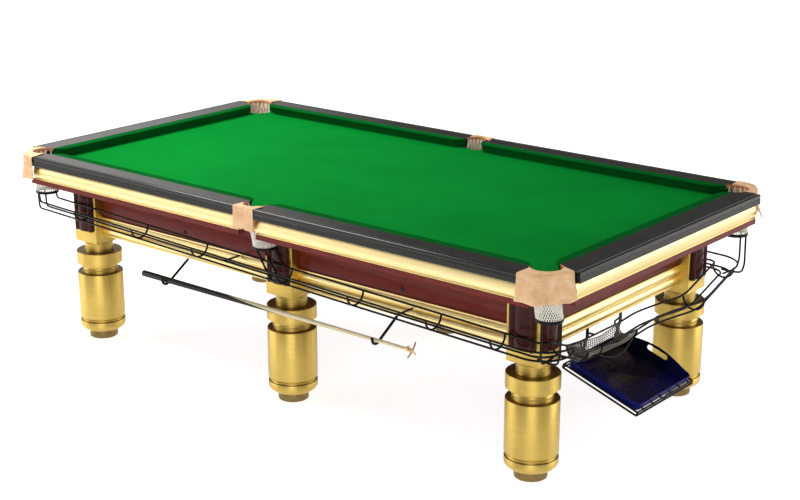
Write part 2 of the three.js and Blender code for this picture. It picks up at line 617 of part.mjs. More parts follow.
function restStick() {
  const length = rest.x1 - rest.x0, sidesRound = 12, ferruleRadius = 8, ferruleLength = 30;
  const shaft = new THREE.CylinderGeometry(rest.tipRadius, rest.buttRadius, length, sidesRound)
    .rotateZ(-Math.PI / 2).translate((rest.x0 + rest.x1) / 2, 0, 0);
  const head = [Math.PI / 4, (Math.PI * 3) / 4].map((angle) => new THREE.BoxGeometry(6, 70, 7)
    .rotateX(angle).translate(rest.x1 + 12, 0, 0));
  const ferrule = new THREE.CylinderGeometry(ferruleRadius, ferruleRadius, ferruleLength, sidesRound)
    .rotateZ(-Math.PI / 2).translate(rest.x1, 0, 0);
  return join([shaft, ferrule, ...head].map(toSolid));
}

// A flat bar under the cabinet board carries two arms that slope outwards and end in open hooks.
function restHanger() {
  const top = boardBottom - gap, barBottom = top - 8, rise = THREE.MathUtils.degToRad(hookRiseDegrees);
  const parts = [box(hookX[0] - 20, hookX[1] + 20, hangerY - 15, hangerY + 15, barBottom, top)];
  for (const x of hookX) {
    const centreZ = rest.z - restRadiusAt(x) - gap + hookRadius, arc = hookRadius + hookWire;
    const start = rise - Math.PI / 2, centre = vector(x, rest.y, centreZ);
    const hook = arcPoints(centre, arc, yDirection, zDirection, start - Math.PI * 0.8, start, 7);
    const heel = hook[hook.length - 1], kneeZ = heel.z + (hangerY - heel.y) * Math.tan(rise);
    parts.push(wire([...hook, vector(x, hangerY, kneeZ), vector(x, hangerY, barBottom + 2)], hookWire, 6));
  }
  return join(parts);
}

// ---- The whole table ----------------------------------------------------------------------
addBed();
addLongRails();
addEndRails();
addCushions();
addLeathers();
addAprons();
addLegs();
addPart('ball_return_near', ballReturn(-1, nearRun), look.wire);
addPart('ball_return_far', ballReturn(1, farRun), look.wire);
addPart('tray_rack', trayRack(), look.wire);
addPart('ball_tray', ballTray(), look.tray).applyMatrix4(rackPlace);
addPart('rest', restStick(), look.restWood).position.set(0, rest.y, rest.z);
addPart('rest_hanger', restHanger(), look.wire);

// The origin is on the floor, at the middle of the box that the whole table fills.
const whole = new THREE.Box3().setFromObject(table, true);
table.position.x = -(whole.min.x + whole.max.x) / 2;

export default table;
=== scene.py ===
"""Looks of the nine-foot pool table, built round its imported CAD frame.

Metres, +Z up. Shapes are worked out about the middle of the table: e is -1 at the head end and +1 at the
foot end, where the ball tray is, and s is -1 on the near side, where the rest hangs, and +1 on the far side.
"""
from math import acos, asin, atan2, cos, degrees, pi, radians, sin, sqrt, tan

import bmesh
import bpy
from mathutils import Matrix, Vector


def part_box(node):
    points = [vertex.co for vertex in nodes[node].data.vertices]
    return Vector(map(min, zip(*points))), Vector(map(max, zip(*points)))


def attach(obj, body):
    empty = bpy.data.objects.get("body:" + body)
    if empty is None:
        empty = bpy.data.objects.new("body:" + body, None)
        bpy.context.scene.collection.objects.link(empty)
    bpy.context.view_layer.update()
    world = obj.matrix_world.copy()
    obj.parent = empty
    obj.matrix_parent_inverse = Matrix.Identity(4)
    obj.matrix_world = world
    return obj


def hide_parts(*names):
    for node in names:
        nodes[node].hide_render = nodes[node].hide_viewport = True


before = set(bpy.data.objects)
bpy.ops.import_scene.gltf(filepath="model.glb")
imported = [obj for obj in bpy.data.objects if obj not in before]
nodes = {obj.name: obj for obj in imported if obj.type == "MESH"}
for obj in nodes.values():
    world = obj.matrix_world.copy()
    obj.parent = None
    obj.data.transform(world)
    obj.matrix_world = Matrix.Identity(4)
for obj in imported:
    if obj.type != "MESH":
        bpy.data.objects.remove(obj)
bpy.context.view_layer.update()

# ---- Sizes that come from the frame
slate_low, slate_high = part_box("slate_middle")
MIDDLE_X = (slate_low.x + slate_high.x) / 2


def span(node, axis):
    """A CAD node's lowest and highest value on an axis, measured from the table's middle."""
    low, high = (getattr(corner, axis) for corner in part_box(node))
    return (low - MIDDLE_X, high - MIDDLE_X) if axis == "x" else (low, high)


SIDE_RAIL_END, RAIL_END_X = span("rail_far_foot", "x")
RAIL_FACE_Y = span("rail_far_foot", "y")[1]
RAIL_FACE_X = span("rail_foot", "x")[1]
RAIL_END_Y = span("rail_foot", "y")[1]
RAIL_TOP = span("rail_foot", "z")[1]
BED_TOP = span("bed_cloth", "z")[1]
NOSE_Y, CUSHION_BACK_Y = span("cushion_far_foot", "y")
CUSHION_BACK_X = span("cushion_foot", "x")[1]
CUSHION_DEPTH = CUSHION_BACK_Y - NOSE_Y
BAND_FACE_Y = span("band_far_foot", "y")[1]
BAND_FACE_X = span("band_foot", "x")[1]
BAND_BOTTOM, BAND_TOP = span("band_foot", "z")
BOARD_BOTTOM = span("cabinet_board", "z")[0]
LEG_X = sum(span("leg_far_foot", "x")) / 2
LEG_Y = sum(span("leg_far_foot", "y")) / 2
APRON_FACE_Y = span("apron_far_foot", "y")[1]
APRON_FACE_X = span("apron_foot", "x")[1]
MOULDING_BOTTOM, MOULDING_TOP = span("moulding_foot", "z")
REST_BUTT_X = span("rest", "x")[0]
REST_Y = sum(span("rest", "y")) / 2
REST_Z = sum(span("rest", "z")) / 2

# ---- Sizes of the finer shapes, which repeat the part's own
GAP = 0.0003  # keeps a fine piece's back off the face that it lies on
CORNER_POCKET = Vector((1.296, 0.656))
CORNER_BORE = 0.056
SIDE_POCKET_Y = 0.704
SIDE_BORE = SIDE_RAIL_END - 0.003
BORE_CLEARANCE = 0.0063
# The degrees round a pocket's mouth that its lining covers.
CORNER_LINING = (-72, 162)
SIDE_LINING = (-18, 198)
LEATHER_TOP = 0.850
FOLD_Z = LEATHER_TOP - 0.010
LEATHER_BOTTOM = 0.745
LEATHER_LAP = 0.020
# How far each corner leather's flap on the table's end stands out at its hem.
FLARES = {("near", "head"): 0.040, ("near", "foot"): 0.003,
          ("far", "head"): 0.012, ("far", "foot"): 0.024}
BLOCK_HALF = 0.070
RETURN_Y = 0.652
RETURN_RADIUS = 0.045
RETURN_HIGH = 0.583
RETURN_LOW = 0.505
RAIL_WIRE_Y = 0.019  # the two lower wires of a channel, each side of its middle
RING_TOP = 0.672
RING_BOTTOM = 0.660
RING_WELD = RING_BOTTOM + 0.003
CORNER_RING_X = 1.310
COLLECTOR_X = 1.245
TILT = radians(18.6)
RACK_INNER_X = 1.140
RACK_INNER_Z = 0.345
RACK_DEPTH = 0.330
RACK_Y = (-0.300, 0.090)
RACK_HEIGHT = 0.015
REST_TIP_X = 0.700
BUTT_RADIUS = 0.0135
TIP_RADIUS = 0.0065
SIDES = (("near", -1), ("far", 1))
ENDS = (("head", -1), ("foot", 1))
QUARTERS = [(side, s, end, e) for side, s in SIDES for end, e in ENDS]
POSTS = [(side, s, post, e) for side, s in SIDES for post, e in (("head", -1), ("middle", 0), ("foot", 1))]


# ---- Mesh helpers
def shift(bm, vec):
    bmesh.ops.translate(bm, vec=vec, verts=bm.verts)
    return bm


def place(bm, e=1, s=1):
    """Mirrors a shape made in the far foot quarter into its own quarter, and moves it on to the frame."""
    bmesh.ops.scale(bm, vec=(e, s, 1), verts=bm.verts)
    if e * s < 0:
        bmesh.ops.reverse_faces(bm, faces=bm.faces)
    return shift(bm, (MIDDLE_X, 0, 0))


def soften(piece, width):
    """Rounds a piece's edges, so that they catch the light as real ones do."""
    bevel = piece.modifiers.new("edges", "BEVEL")
    bevel.width = width
    bevel.segments = 2
    bevel.limit_method = "ANGLE"
    bevel.angle_limit = radians(30)
    bevel.harden_normals = True


def adopt(piece, replaced, body):
    """Puts a piece in the scene and ties it to its body and the CAD nodes that it stands for."""
    bpy.context.scene.collection.objects.link(piece)
    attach(piece, body)
    if replaced:
        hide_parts(*replaced)
    return piece


def mesh_of(name, bm):
    mesh = bpy.data.meshes.new(name)
    bm.to_mesh(mesh)
    bm.free()
    return mesh


def finish(name, bm, material, slot, replaced=(), body="table", edge=0.0, angle=35):
    """Turns a bmesh into a smooth-shaded piece that rides on a body of the frame."""
    bmesh.ops.remove_doubles(bm, verts=bm.verts, dist=1e-6)
    mesh = mesh_of(name, bm)
    mesh.polygons.foreach_set("use_smooth", [True] * len(mesh.polygons))
    mesh.set_sharp_from_angle(angle=radians(angle))
    mesh.materials.append(material)
    piece = bpy.data.objects.new(name, mesh)
    if edge:
        soften(piece, edge)
    return adopt(piece, replaced, body)


def grid(bm, rows, close_rows=False, close_columns=False):
    """Faces between rows of points. close_rows joins the last row to the first, close_columns each row's ends."""
    made = [[bm.verts.new(corner) for corner in row] for row in rows]
    row_pairs = list(zip(made, made[1:])) + ([(made[-1], made[0])] if close_rows else [])
    for a, b in row_pairs:
        count = len(a) if close_columns else len(a) - 1
        for i in range(count):
            j = (i + 1) % len(a)
            bm.faces.new((a[i], a[j], b[j], b[i]))
    return made


def shell(rows, bm=None):
    """A closed solid through rings of points, with a flat cap on the first ring and on the last."""
    if bm is None:
        bm = bmesh.new()
    made = grid(bm, rows, close_columns=True)
    bm.faces.new(made[0])
    bm.faces.new(list(reversed(made[-1])))
    bmesh.ops.recalc_face_normals(bm, faces=bm.faces)
    return bm


def lathe(profile, turns=64, centre=(0, 0), closed=False):
    """Turns a profile of (radius, height) points about a vertical axis."""
    bm = bmesh.new()
    rows = []
    for i in range(turns):
        angle = 2 * pi * i / turns
        rows.append([(centre[0] + r * cos(angle), centre[1] + r * sin(angle), z) for r, z in profile])
    grid(bm, rows, close_rows=True, close_columns=closed)
    bmesh.ops.remove_doubles(bm, verts=bm.verts, dist=1e-6)
    bmesh.ops.dissolve_degenerate(bm, edges=bm.edges, dist=1e-6)
    bmesh.ops.recalc_face_normals(bm, faces=bm.faces)
    return bm


def point(along, across, z, along_y):
    """(x, y, z) of a point on something that lies along Y or along X."""
    return (across, along, z) if along_y else (along, across, z)


def bar(section, start, end, along_y=False):
    """A bar along X (or Y) with a section of (across, z) points. Each end is a place, or a function that gives
    the place for each across."""
    return shell([[point(where(across) if callable(where) else where, across, z, along_y) for across, z in section]
                  for where in (start, end)])


def offsets(u, v, *pairs):
    """Points at (du, dv) pairs from a corner of a section."""
    return [(u + du, v + dv) for du, dv in pairs]


def shares(steps):
    """0 to 1 in equal steps."""
    return [i / steps for i in range(steps + 1)]


def arc(centre, radius, start, end, steps):
    """Points (u, v) on an arc, with its angles in degrees."""
    angles = [radians(start + (end - start) * i / steps) for i in range(steps + 1)]
    return [(centre[0] + radius * cos(a), centre[1] + radius * sin(a)) for a in angles]


def spline_at(points, t):
    """A point at t from 0 to 1 on a Catmull-Rom curve through the points."""
    last = len(points) - 1
    i = min(int(t * last), last - 1)
    u = t * last - i
    p = [Vector(points[min(max(k, 0), last)]) for k in (i - 1, i, i + 1, i + 2)]
    return 0.5 * (2 * p[1] + (p[2] - p[0]) * u + (2 * p[0] - 5 * p[1] + 4 * p[2] - p[3]) * u * u
                  + (3 * p[1] - p[0] - 3 * p[2] + p[3]) * u ** 3)


def bent(points, radius=0.012, steps=5):
    """A path of straight runs whose corners are rounded to the radius, as wire is bent."""
    points = [Vector(corner) for corner in points]
    path = [points[0]]
    for before, corner, after in zip(points, points[1:], points[2:]):
        back, on = before - corner, after - corner
        reach = min(radius, back.length * 0.45, on.length * 0.45)
        a, b = corner + back.normalized() * reach, corner + on.normalized() * reach
        for t in shares(steps):
            path.append((1 - t) ** 2 * a + 2 * t * (1 - t) * corner + t * t * b)
    return path + [points[-1]]


def wires(name, paths, radius, material, replaced=(), body="table", roundness=3):
    """Round wire along each path. A path is a list of points about the table's middle."""
    curve = bpy.data.curves.new(name, "CURVE")
    curve.dimensions = "3D"
    curve.bevel_depth = radius
    curve.bevel_resolution = roundness
    curve.use_fill_caps = True
    for path in paths:
        spline = curve.splines.new("POLY")
        spline.points.add(len(path) - 1)
        for target, (x, y, z) in zip(spline.points, path):
            target.co = (x + MIDDLE_X, y, z, 1)
        spline.use_smooth = True
    curve.materials.append(material)
    return adopt(bpy.data.objects.new(name, curve), replaced, body)


# ---- Materials
def feed(tree, socket, value):
    """Sets a socket to a value, or links another node's output to it."""
    if isinstance(value, bpy.types.NodeSocket):
        tree.links.new(value, socket)
    else:
        socket.default_value = value


def add_node(tree, kind, output, inputs, **settings):
    """Adds a node to a tree and gives one of its outputs."""
    node = tree.nodes.new("ShaderNode" + kind)
    for name, value in settings.items():
        setattr(node, name, value)
    for key, value in inputs.items():
        feed(tree, node.inputs[key], value)
    return node.outputs[output]


class Shader:
    """A material's nodes. Texture coordinates are the object's own, in metres."""

    def __init__(self, name):
        self.material = bpy.data.materials.new(name)
        self.material.use_nodes = True
        self.coordinates = self.add("TexCoord", "Object", {})

    def add(self, kind, output, inputs, **settings):
        return add_node(self.material.node_tree, kind, output, inputs, **settings)

    def noise(self, scale, detail=4.0, roughness=0.55):
        """Noise whose features are 1 / scale metres across, with one scale or one for each axis."""
        scale = scale if isinstance(scale, tuple) else (scale, scale, scale)
        vector = self.add("Mapping", "Vector", {"Vector": self.coordinates, "Scale": scale})
        return self.add("TexNoise", "Fac", {"Vector": vector, "Scale": 1.0, "Detail": detail, "Roughness": roughness})

    def position(self, axis):
        return self.add("SeparateXYZ", axis, {"Vector": self.coordinates})

    def ramp(self, value, *stops):
        """Colours along a value, from (position, colour) stops."""
        output = self.add("ValToRGB", "Color", {"Fac": value})
        elements = output.node.color_ramp.elements
        while len(elements) < len(stops):
            elements.new(0.5)
        for element, (position, color) in zip(elements, stops):
            element.position = position
            element.color = (*color, 1)
        return output

    def spread(self, value, low, high, start=0.3, end=0.7):
        """Maps start to end on to low to high."""
        return self.add("MapRange", "Result", {"Value": value, "From Min": start, "From Max": end,
                                               "To Min": low, "To Max": high})

    def math(self, operation, a, b):
        return self.add("Math", "Value", {0: a, 1: b}, operation=operation)

    def blend(self, *parts):
        """The sum of (output, weight) parts."""
        total, *others = [self.math("MULTIPLY", output, weight) for output, weight in parts]
        for other in others:
            total = self.math("ADD", total, other)
        return total

    def mix(self, factor, a, b):
        """From colour a to colour b. Each is a tuple or a node's output."""
        a, b = [(*color, 1) if isinstance(color, tuple) else color for color in (a, b)]
        return self.add("Mix", 2, {0: factor, 6: a, 7: b}, data_type="RGBA")

    def bump(self, height, strength, distance):
        return self.add("Bump", "Normal", {"Strength": strength, "Distance": distance, "Height": height})

    def surface(self, color, roughness, normal=None, **values):
        """Gives the surface its node outputs and values, and returns the material."""
        tree = self.material.node_tree
        values = {"Base_Color": color, "Roughness": roughness, "Specular_IOR_Level": 0.3, **values}
        if normal:
            values["Normal"] = normal
        for name, value in values.items():
            feed(tree, tree.nodes["Principled BSDF"].inputs[name.replace("_", " ")], value)
        return self.material


def metal(name, dark, light, roughness, brush, turned=False):
    """Brushed metal. brush is the noise scale on each axis, low along the brush marks. turned is for marks
    that run round an upright axis, which draw each highlight out upwards and downwards."""
    shader = Shader(name)
    marks = shader.noise(brush, detail=3)
    patches = shader.noise(9, detail=2)
    gloss = shader.math("ADD", shader.spread(patches, -0.04, 0.05), shader.spread(marks, roughness, roughness + 0.1))
    values = {}
    if turned:
        tangent = shader.add("Tangent", "Tangent", {}, direction_type="RADIAL", axis="Z")
        values = {"Tangent": tangent, "Anisotropic": 0.85, "Anisotropic_Rotation": 0.25}
    return shader.surface(shader.mix(shader.spread(marks, 0.0, 1.0), dark, light), gloss,
                          shader.bump(marks, 0.10, 0.0004), Metallic=1.0, **values)


def cloth(name, dark, light):
    """Napped wool cloth: fine fibres, slight streaks along the nap and a soft sheen."""
    shader = Shader(name)
    fibres = shader.noise(2200, detail=2)
    nap = shader.noise((14, 220, 220), detail=5)
    patches = shader.noise((2.2, 3.1, 3.0), detail=2)
    tone = shader.blend((fibres, 0.45), (nap, 0.25), (patches, 0.3))
    return shader.surface(shader.ramp(tone, (0.34, dark), (0.66, light)),
                          shader.spread(fibres, 0.86, 0.98), shader.bump(fibres, 0.25, 0.0004),
                          IOR=1.12, Specular_IOR_Level=0.2)


def lacquer(name, dark, light, roughness, index, specular):
    """Gloss lacquer over wood, with a faint grain and orange peel."""
    shader = Shader(name)
    figure = shader.noise((9, 9, 260), detail=6, roughness=0.65)
    peel = shader.noise(70, detail=1)
    smears = shader.noise(6, detail=3)
    return shader.surface(shader.ramp(figure, (0.3, dark), (0.7, light)),
                          shader.spread(smears, roughness - 0.02, roughness + 0.04),
                          shader.bump(peel, 0.02, 0.0004), IOR=index, Specular_IOR_Level=specular)


def suede(name, dark, middle, light):
    """Leather worn paler in patches, with a fine pebbled grain."""
    shader = Shader(name)
    pebbles = shader.noise(900, detail=3)
    patches = shader.noise(28)
    tone = shader.blend((pebbles, 0.6), (patches, 0.4))
    return shader.surface(shader.ramp(tone, (0.34, dark), (0.52, middle), (0.68, light)),
                          shader.spread(patches, 0.62, 0.85), shader.bump(pebbles, 0.5, 0.0012),
                          Specular_IOR_Level=0.1)


def plain(name, dark, light, roughness, scale, bump, **values):
    """A moulded or dipped surface: small changes of tone and gloss, and a slightly uneven face."""
    shader = Shader(name)
    fine = shader.noise(scale)
    wide = shader.noise(7, detail=3)
    return shader.surface(shader.mix(shader.spread(wide, 0.0, 1.0), dark, light),
                          shader.spread(fine, roughness - 0.05, roughness + 0.08),
                          shader.bump(fine, bump, 0.0006), **values)


def raw(name, dark, light, layers, detail, contrast, bump, distance):
    """Bare stone or timber, in layers of two tones. layers is the noise scale on each axis."""
    shader = Shader(name)
    grain = shader.noise(layers, detail, contrast)
    return shader.surface(shader.ramp(grain, (0.3, dark), (0.7, light)),
                          shader.spread(grain, 0.55, 0.75), shader.bump(grain, bump, distance))


def rest_finish():
    """Pale varnished ash with a black butt that is spliced on along a long slant."""
    shader = Shader("spliced_rest")
    splice_x, slant, half_depth = MIDDLE_X - 0.24, 0.40, 0.012
    grain = shader.noise((5, 300, 300), detail=6, roughness=0.7)
    pale = shader.ramp(grain, (0.3, (0.46, 0.37, 0.21)), (0.7, (0.74, 0.66, 0.45)))
    lower = shader.spread(shader.position("Z"), 1.0, 0.0, REST_Z - half_depth, REST_Z + half_depth)
    edge = shader.math("ADD", shader.math("MULTIPLY", lower, slant), splice_x)
    is_shaft = shader.math("GREATER_THAN", shader.position("X"), edge)
    return shader.surface(shader.mix(is_shaft, (0.008, 0.008, 0.008), pale),
                          shader.spread(grain, 0.22, 0.34), shader.bump(grain, 0.05, 0.0003),
                          IOR=1.36)


def tray_finish():
    """Navy plastic, with a painted blue highlight towards the near wall and the outer wall."""
    shader = Shader("navy_tray_plastic")
    pebble = shader.noise(300, detail=3)
    scuff_and_highlight_noise = shader.noise((14, 9, 14), detail=5)
    outer_x = MIDDLE_X + RACK_INNER_X + RACK_DEPTH * cos(TILT)
    # Painted highlight: near and outer fade the plastic from dark navy to bright blue along those two walls, and the
    # gloss noise breaks it up.
    near = shader.spread(shader.position("Y"), 1.0, 0.0, RACK_Y[0] + 0.02, RACK_Y[0] + 0.14)
    outer = shader.spread(shader.position("X"), 0.0, 1.0, outer_x - 0.12, outer_x - 0.02)
    painted_blue_highlight = shader.math("MULTIPLY", shader.math("MAXIMUM", near, outer), shader.spread(scuff_and_highlight_noise, 0.55, 1.0))
    return shader.surface(shader.mix(painted_blue_highlight, (0.0018, 0.002, 0.011), (0.006, 0.008, 0.105)),
                          shader.spread(scuff_and_highlight_noise, 0.22, 0.34), shader.bump(pebble, 0.06, 0.0006),
                          IOR=1.35, Specular_IOR_Level=0.35, Specular_Tint=(0.30, 0.36, 1.0, 1))


BED_CLOTH = cloth("green_bed_cloth", (0.0005, 0.130, 0.014), (0.001, 0.204, 0.024))
# Painted shade: the cushions are covered in the bed's cloth, given here at about half its brightness so that their
# faces look shaded.
CUSHION_CLOTH_PAINTED_SHADE = cloth("green_cushion_cloth_painted_shade", (0.0, 0.055, 0.007), (0.0, 0.100, 0.013))
BLACK_RAIL = lacquer("black_rail_lacquer", (0.008, 0.008, 0.006), (0.018, 0.017, 0.013), 0.17, 1.5, 0.25)
BURGUNDY = lacquer("burgundy_lacquer", (0.080, 0.007, 0.004), (0.170, 0.017, 0.011), 0.22, 1.32, 0.35)
DARK_BURGUNDY = lacquer("dark_burgundy_lacquer", (0.022, 0.003, 0.002), (0.052, 0.006, 0.004), 0.16, 1.30, 0.35)
PALE_GOLD = metal("pale_gold_band", (0.71, 0.56, 0.245), (0.85, 0.71, 0.385), 0.34, (3, 3, 1400))
TRIM_GOLD = metal("gold_moulding", (0.68, 0.52, 0.20), (0.88, 0.73, 0.37), 0.28, (3, 3, 1400))
LEG_GOLD = metal("brushed_leg_gold", (0.52, 0.345, 0.065), (0.69, 0.505, 0.15), 0.36, (10, 10, 1500), turned=True)
# Painted shade: a dark copy of the leg gold, for the faces of the rings that look upwards.
RING_TOP_SHADE_GOLD = metal("ring_top_gold_painted_shade", (0.14, 0.085, 0.018), (0.24, 0.155, 0.035), 0.36, (300, 300, 30))
DARK_GOLD = metal("dark_foot_gold", (0.16, 0.11, 0.04), (0.28, 0.20, 0.08), 0.42, (60, 60, 300))
BRASS = metal("rest_head_brass", (0.45, 0.32, 0.12), (0.70, 0.54, 0.26), 0.3, 200)
LEATHER = suede("tan_suede", (0.50, 0.27, 0.135), (0.70, 0.45, 0.25), (0.84, 0.62, 0.44))
# Painted shade: a darker, redder copy of the tan leather for the pocket's mouth, standing in for the shade inside the
# pocket.
LINING = suede("lining_leather_painted_shade", (0.26, 0.09, 0.045), (0.38, 0.15, 0.08), (0.50, 0.24, 0.14))
THREAD = plain("stitch_thread", (0.70, 0.58, 0.44), (0.88, 0.78, 0.64), 0.7, 900, 0.3)
NET = plain("white_net_cord", (0.62, 0.59, 0.52), (0.86, 0.84, 0.78), 0.8, 1200, 0.4)
GREY_NET = plain("grey_net_cord", (0.09, 0.08, 0.07), (0.26, 0.24, 0.21), 0.8, 1200, 0.4)
WIRE = plain("black_dipped_wire", (0.002, 0.002, 0.002), (0.006, 0.006, 0.005), 0.38, 90, 0.08, IOR=1.3)
BOLT = plain("dark_bolt", (0.02, 0.015, 0.015), (0.06, 0.05, 0.05), 0.4, 200, 0.1, Metallic=0.8)
SLATE = raw("grey_slate", (0.06, 0.065, 0.07), (0.14, 0.15, 0.155), (12, 12, 160), 6, 0.55, 0.3, 0.001)
TIMBER = raw("bare_timber", (0.27, 0.16, 0.07), (0.52, 0.36, 0.19), (3, 45, 260), 7, 0.7, 0.2, 0.0006)
NAVY = tray_finish()
REST_WOOD = rest_finish()


# ---- Top rails, bands, mouldings
def bore_trim(across, across_centre, along_centre, limit):
    """Where a bar that runs up to a corner pocket ends: at its limit, or where the pocket's bore cuts it."""
    off = abs(across) - across_centre
    radius = CORNER_BORE + BORE_CLEARANCE
    if abs(off) >= radius:
        return limit
    return min(limit, along_centre - sqrt(radius * radius - off * off))


def rail_section(back, outer):
    """A flat top that ends in a groove and a rounded bead, over a flat side."""
    inner, low, bead = back + 0.0004, BED_TOP + 0.0005, 0.0075
    side = offsets(outer, RAIL_TOP, (0, -0.019), (-0.0016, -0.0172), (-0.0016, -0.0135))
    groove = offsets(outer, RAIL_TOP, (-0.0115, -0.0004), (-0.0128, -0.0026), (-0.0152, -0.0026), (-0.0168, 0))
    top = [(inner + (outer - 0.030 - inner) * i / 8, RAIL_TOP) for i in range(8, -1, -1)]
    return ([(inner, low), (outer - 0.002, low), (outer, BED_TOP + 0.003)] + side
            + arc((outer - bead, RAIL_TOP - bead), bead, -35, 90, 8) + groove + top)


def band_section(outer):
    """A shallow barrel between two thin lips."""
    lip = ((0.027, 0), (0.0045, 0), (0.0035, 0.001), (0.0035, 0.003), (0.0075, 0.004))
    start, end, bulge = BAND_BOTTOM + 0.0055, BAND_TOP - 0.0055, 0.0075
    barrel = [(outer - bulge * (1 - sin(pi * i / 10) ** 0.8), start + (end - start) * i / 10)
              for i in range(11)]
    return ([(outer - u, BAND_BOTTOM + z) for u, z in lip] + barrel
            + [(outer - u, BAND_TOP - z) for u, z in reversed(lip)])


def moulding_section(face):
    """Two half-round rolls with a narrow groove between them and a fillet at each edge."""
    back, low, high = face + GAP, MOULDING_BOTTOM, MOULDING_TOP
    middle = low + (high - low) * 0.49

    def roll(start, end, height):
        return [(back + 0.0045 + height * sin(pi * i / 8), start + (end - start) * i / 8)
                for i in range(9)]

    return (offsets(back, low, (0, 0), (0.006, 0), (0.006, 0.004), (0.0045, 0.005))
            + roll(low + 0.006, middle - 0.0015, 0.0082) + [(back + 0.002, middle)]
            + roll(middle + 0.0015, high - 0.007, 0.0078)
            + offsets(back, high, (0.0045, -0.005), (0.0085, -0.004), (0.0085, -0.0005), (0.0075, 0), (0, 0)))


def run_round(kind, on_side, on_end, material, slot, **more):
    """Stand-ins for a part that lies along each half of both sides and across both ends. on_side and on_end
    each make its shape at the far foot quarter."""
    runs = [(f"{kind}_{side}_{end}", on_side, e, s) for side, s, end, e in QUARTERS]
    for node, shape, e, s in runs + [(f"{kind}_{end}", on_end, e, 1) for end, e in ENDS]:
        finish(f"fine_{node}", place(shape(), e, s), material, slot, [node], **more)


def make_rails():
    pocket_x, pocket_y = CORNER_POCKET
    side_end = RAIL_END_X - LEATHER_LAP  # the leather wraps the ends of the side rails
    stop_x, stop_y = LEG_X - BLOCK_HALF - GAP, LEG_Y - BLOCK_HALF - GAP

    def on_side(section):
        return bar(section, SIDE_RAIL_END, lambda y: bore_trim(y, pocket_y, pocket_x, side_end))

    def on_end(section):
        return bar(section, lambda x: -bore_trim(x, pocket_x, pocket_y, RAIL_END_Y),
                   lambda x: bore_trim(x, pocket_x, pocket_y, RAIL_END_Y), along_y=True)

    run_round("rail", lambda: on_side(rail_section(CUSHION_BACK_Y, RAIL_FACE_Y)),
              lambda: on_end(rail_section(CUSHION_BACK_X, RAIL_FACE_X)), BLACK_RAIL, "black_lacquer", edge=0.0006)
    run_round("band", lambda: on_side(band_section(BAND_FACE_Y)),
              lambda: on_end(band_section(BAND_FACE_X)), PALE_GOLD, "pale_gold", edge=0.0006)
    run_round("moulding", lambda: bar(moulding_section(APRON_FACE_Y), BLOCK_HALF + GAP, stop_x),
              lambda: bar(moulding_section(APRON_FACE_X), -stop_y, stop_y, along_y=True), TRIM_GOLD, "gold_trim")


# ---- Cushions
def cushion_section():
    """(distance in from the back, height): a sloping top, a rounded nose and an undercut face."""
    depth, nose = CUSHION_DEPTH, 0.0028
    top = offsets(0, RAIL_TOP, (0, -0.0006), (0.006, -0.0004), (0.016, -0.0012))
    face = offsets(depth, BED_TOP, (-0.006, 0.027), (-0.013, 0.010), (-0.016, 0.001))
    return ([(0, BED_TOP + 0.001)] + top + [(depth - 0.012, BED_TOP + 0.0398)]
            + arc((depth - nose, BED_TOP + 0.0365), nose, 70, -40, 5) + face)


def tip_curve(tip, reach):
    """(along, setback) of the nose from a cushion's tip to where it runs straight, reach away."""
    return [(tip + reach * (0.6 * t * (1 - t) + t * t), CUSHION_DEPTH * (1 - t) ** 2) for t in shares(14)]


def cushion(stations, back, along_y=False):
    """A cushion through stations of (along, setback). thinnest is what is left of it at its tips."""
    section, thinnest = cushion_section(), 0.0015
    return shell([[point(along, back - max(inward - setback, thinnest if inward > 0.001 else 0.0), z, along_y)
                   for inward, z in section] for along, setback in stations])


def make_cushions():
    corner_reach, side_reach = 0.075, 0.040
    tip_x, tip_y = span("cushion_far_foot", "x")[1], span("cushion_foot", "y")[1]
    side_stations = tip_curve(SIDE_RAIL_END + 0.002, side_reach)
    side_stations += [(-x, setback) for x, setback in reversed(tip_curve(-tip_x, corner_reach))]
    end_stations = tip_curve(-tip_y, corner_reach)
    end_stations += [(-y, setback) for y, setback in reversed(end_stations)]
    run_round("cushion", lambda: cushion(side_stations, CUSHION_BACK_Y),
              lambda: cushion(end_stations, CUSHION_BACK_X, along_y=True), CUSHION_CLOTH_PAINTED_SHADE, "cushion_green", angle=50)


# ---- Bed cloth
def cloth_outline():
    """The cloth's edge in the far foot quarter, from the middle pocket round to the end's middle."""
    edge_x, edge_y = span("bed_cloth", "x")[1], span("bed_cloth", "y")[1]
    overhang = 0.001
    bore, (px, py) = CORNER_BORE + overhang, CORNER_POCKET
    start = degrees(acos((RAIL_END_X - px) / bore))
    end = -degrees(asin((py - RAIL_END_Y) / bore))
    return (arc((0, SIDE_POCKET_Y), SIDE_BORE + overhang, -90, 0, 12)
            + [(SIDE_RAIL_END, SIDE_POCKET_Y), (SIDE_RAIL_END, edge_y), (RAIL_END_X, edge_y)]
            + arc((px, py), bore, start, 360 + end, 40) + [(edge_x, RAIL_END_Y)])


def make_cloth():
    quarter = cloth_outline()
    loop = quarter + [(x, -y) for x, y in reversed(quarter)] + [(-x, -y) for x, y in quarter]
    loop += [(-x, y) for x, y in reversed(quarter)]
    low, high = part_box("bed_cloth")
    bm = bmesh.new()
    bottom, top = grid(bm, [[(x, y, z) for x, y in loop] for z in (low.z, high.z)], close_columns=True)
    flat = [bm.faces.new(top), bm.faces.new(list(reversed(bottom)))]
    bmesh.ops.triangulate(bm, faces=flat)
    bmesh.ops.recalc_face_normals(bm, faces=bm.faces)
    piece = finish("fine_bed_cloth", place(bm), BED_CLOTH, "green_cloth", ["bed_cloth"])


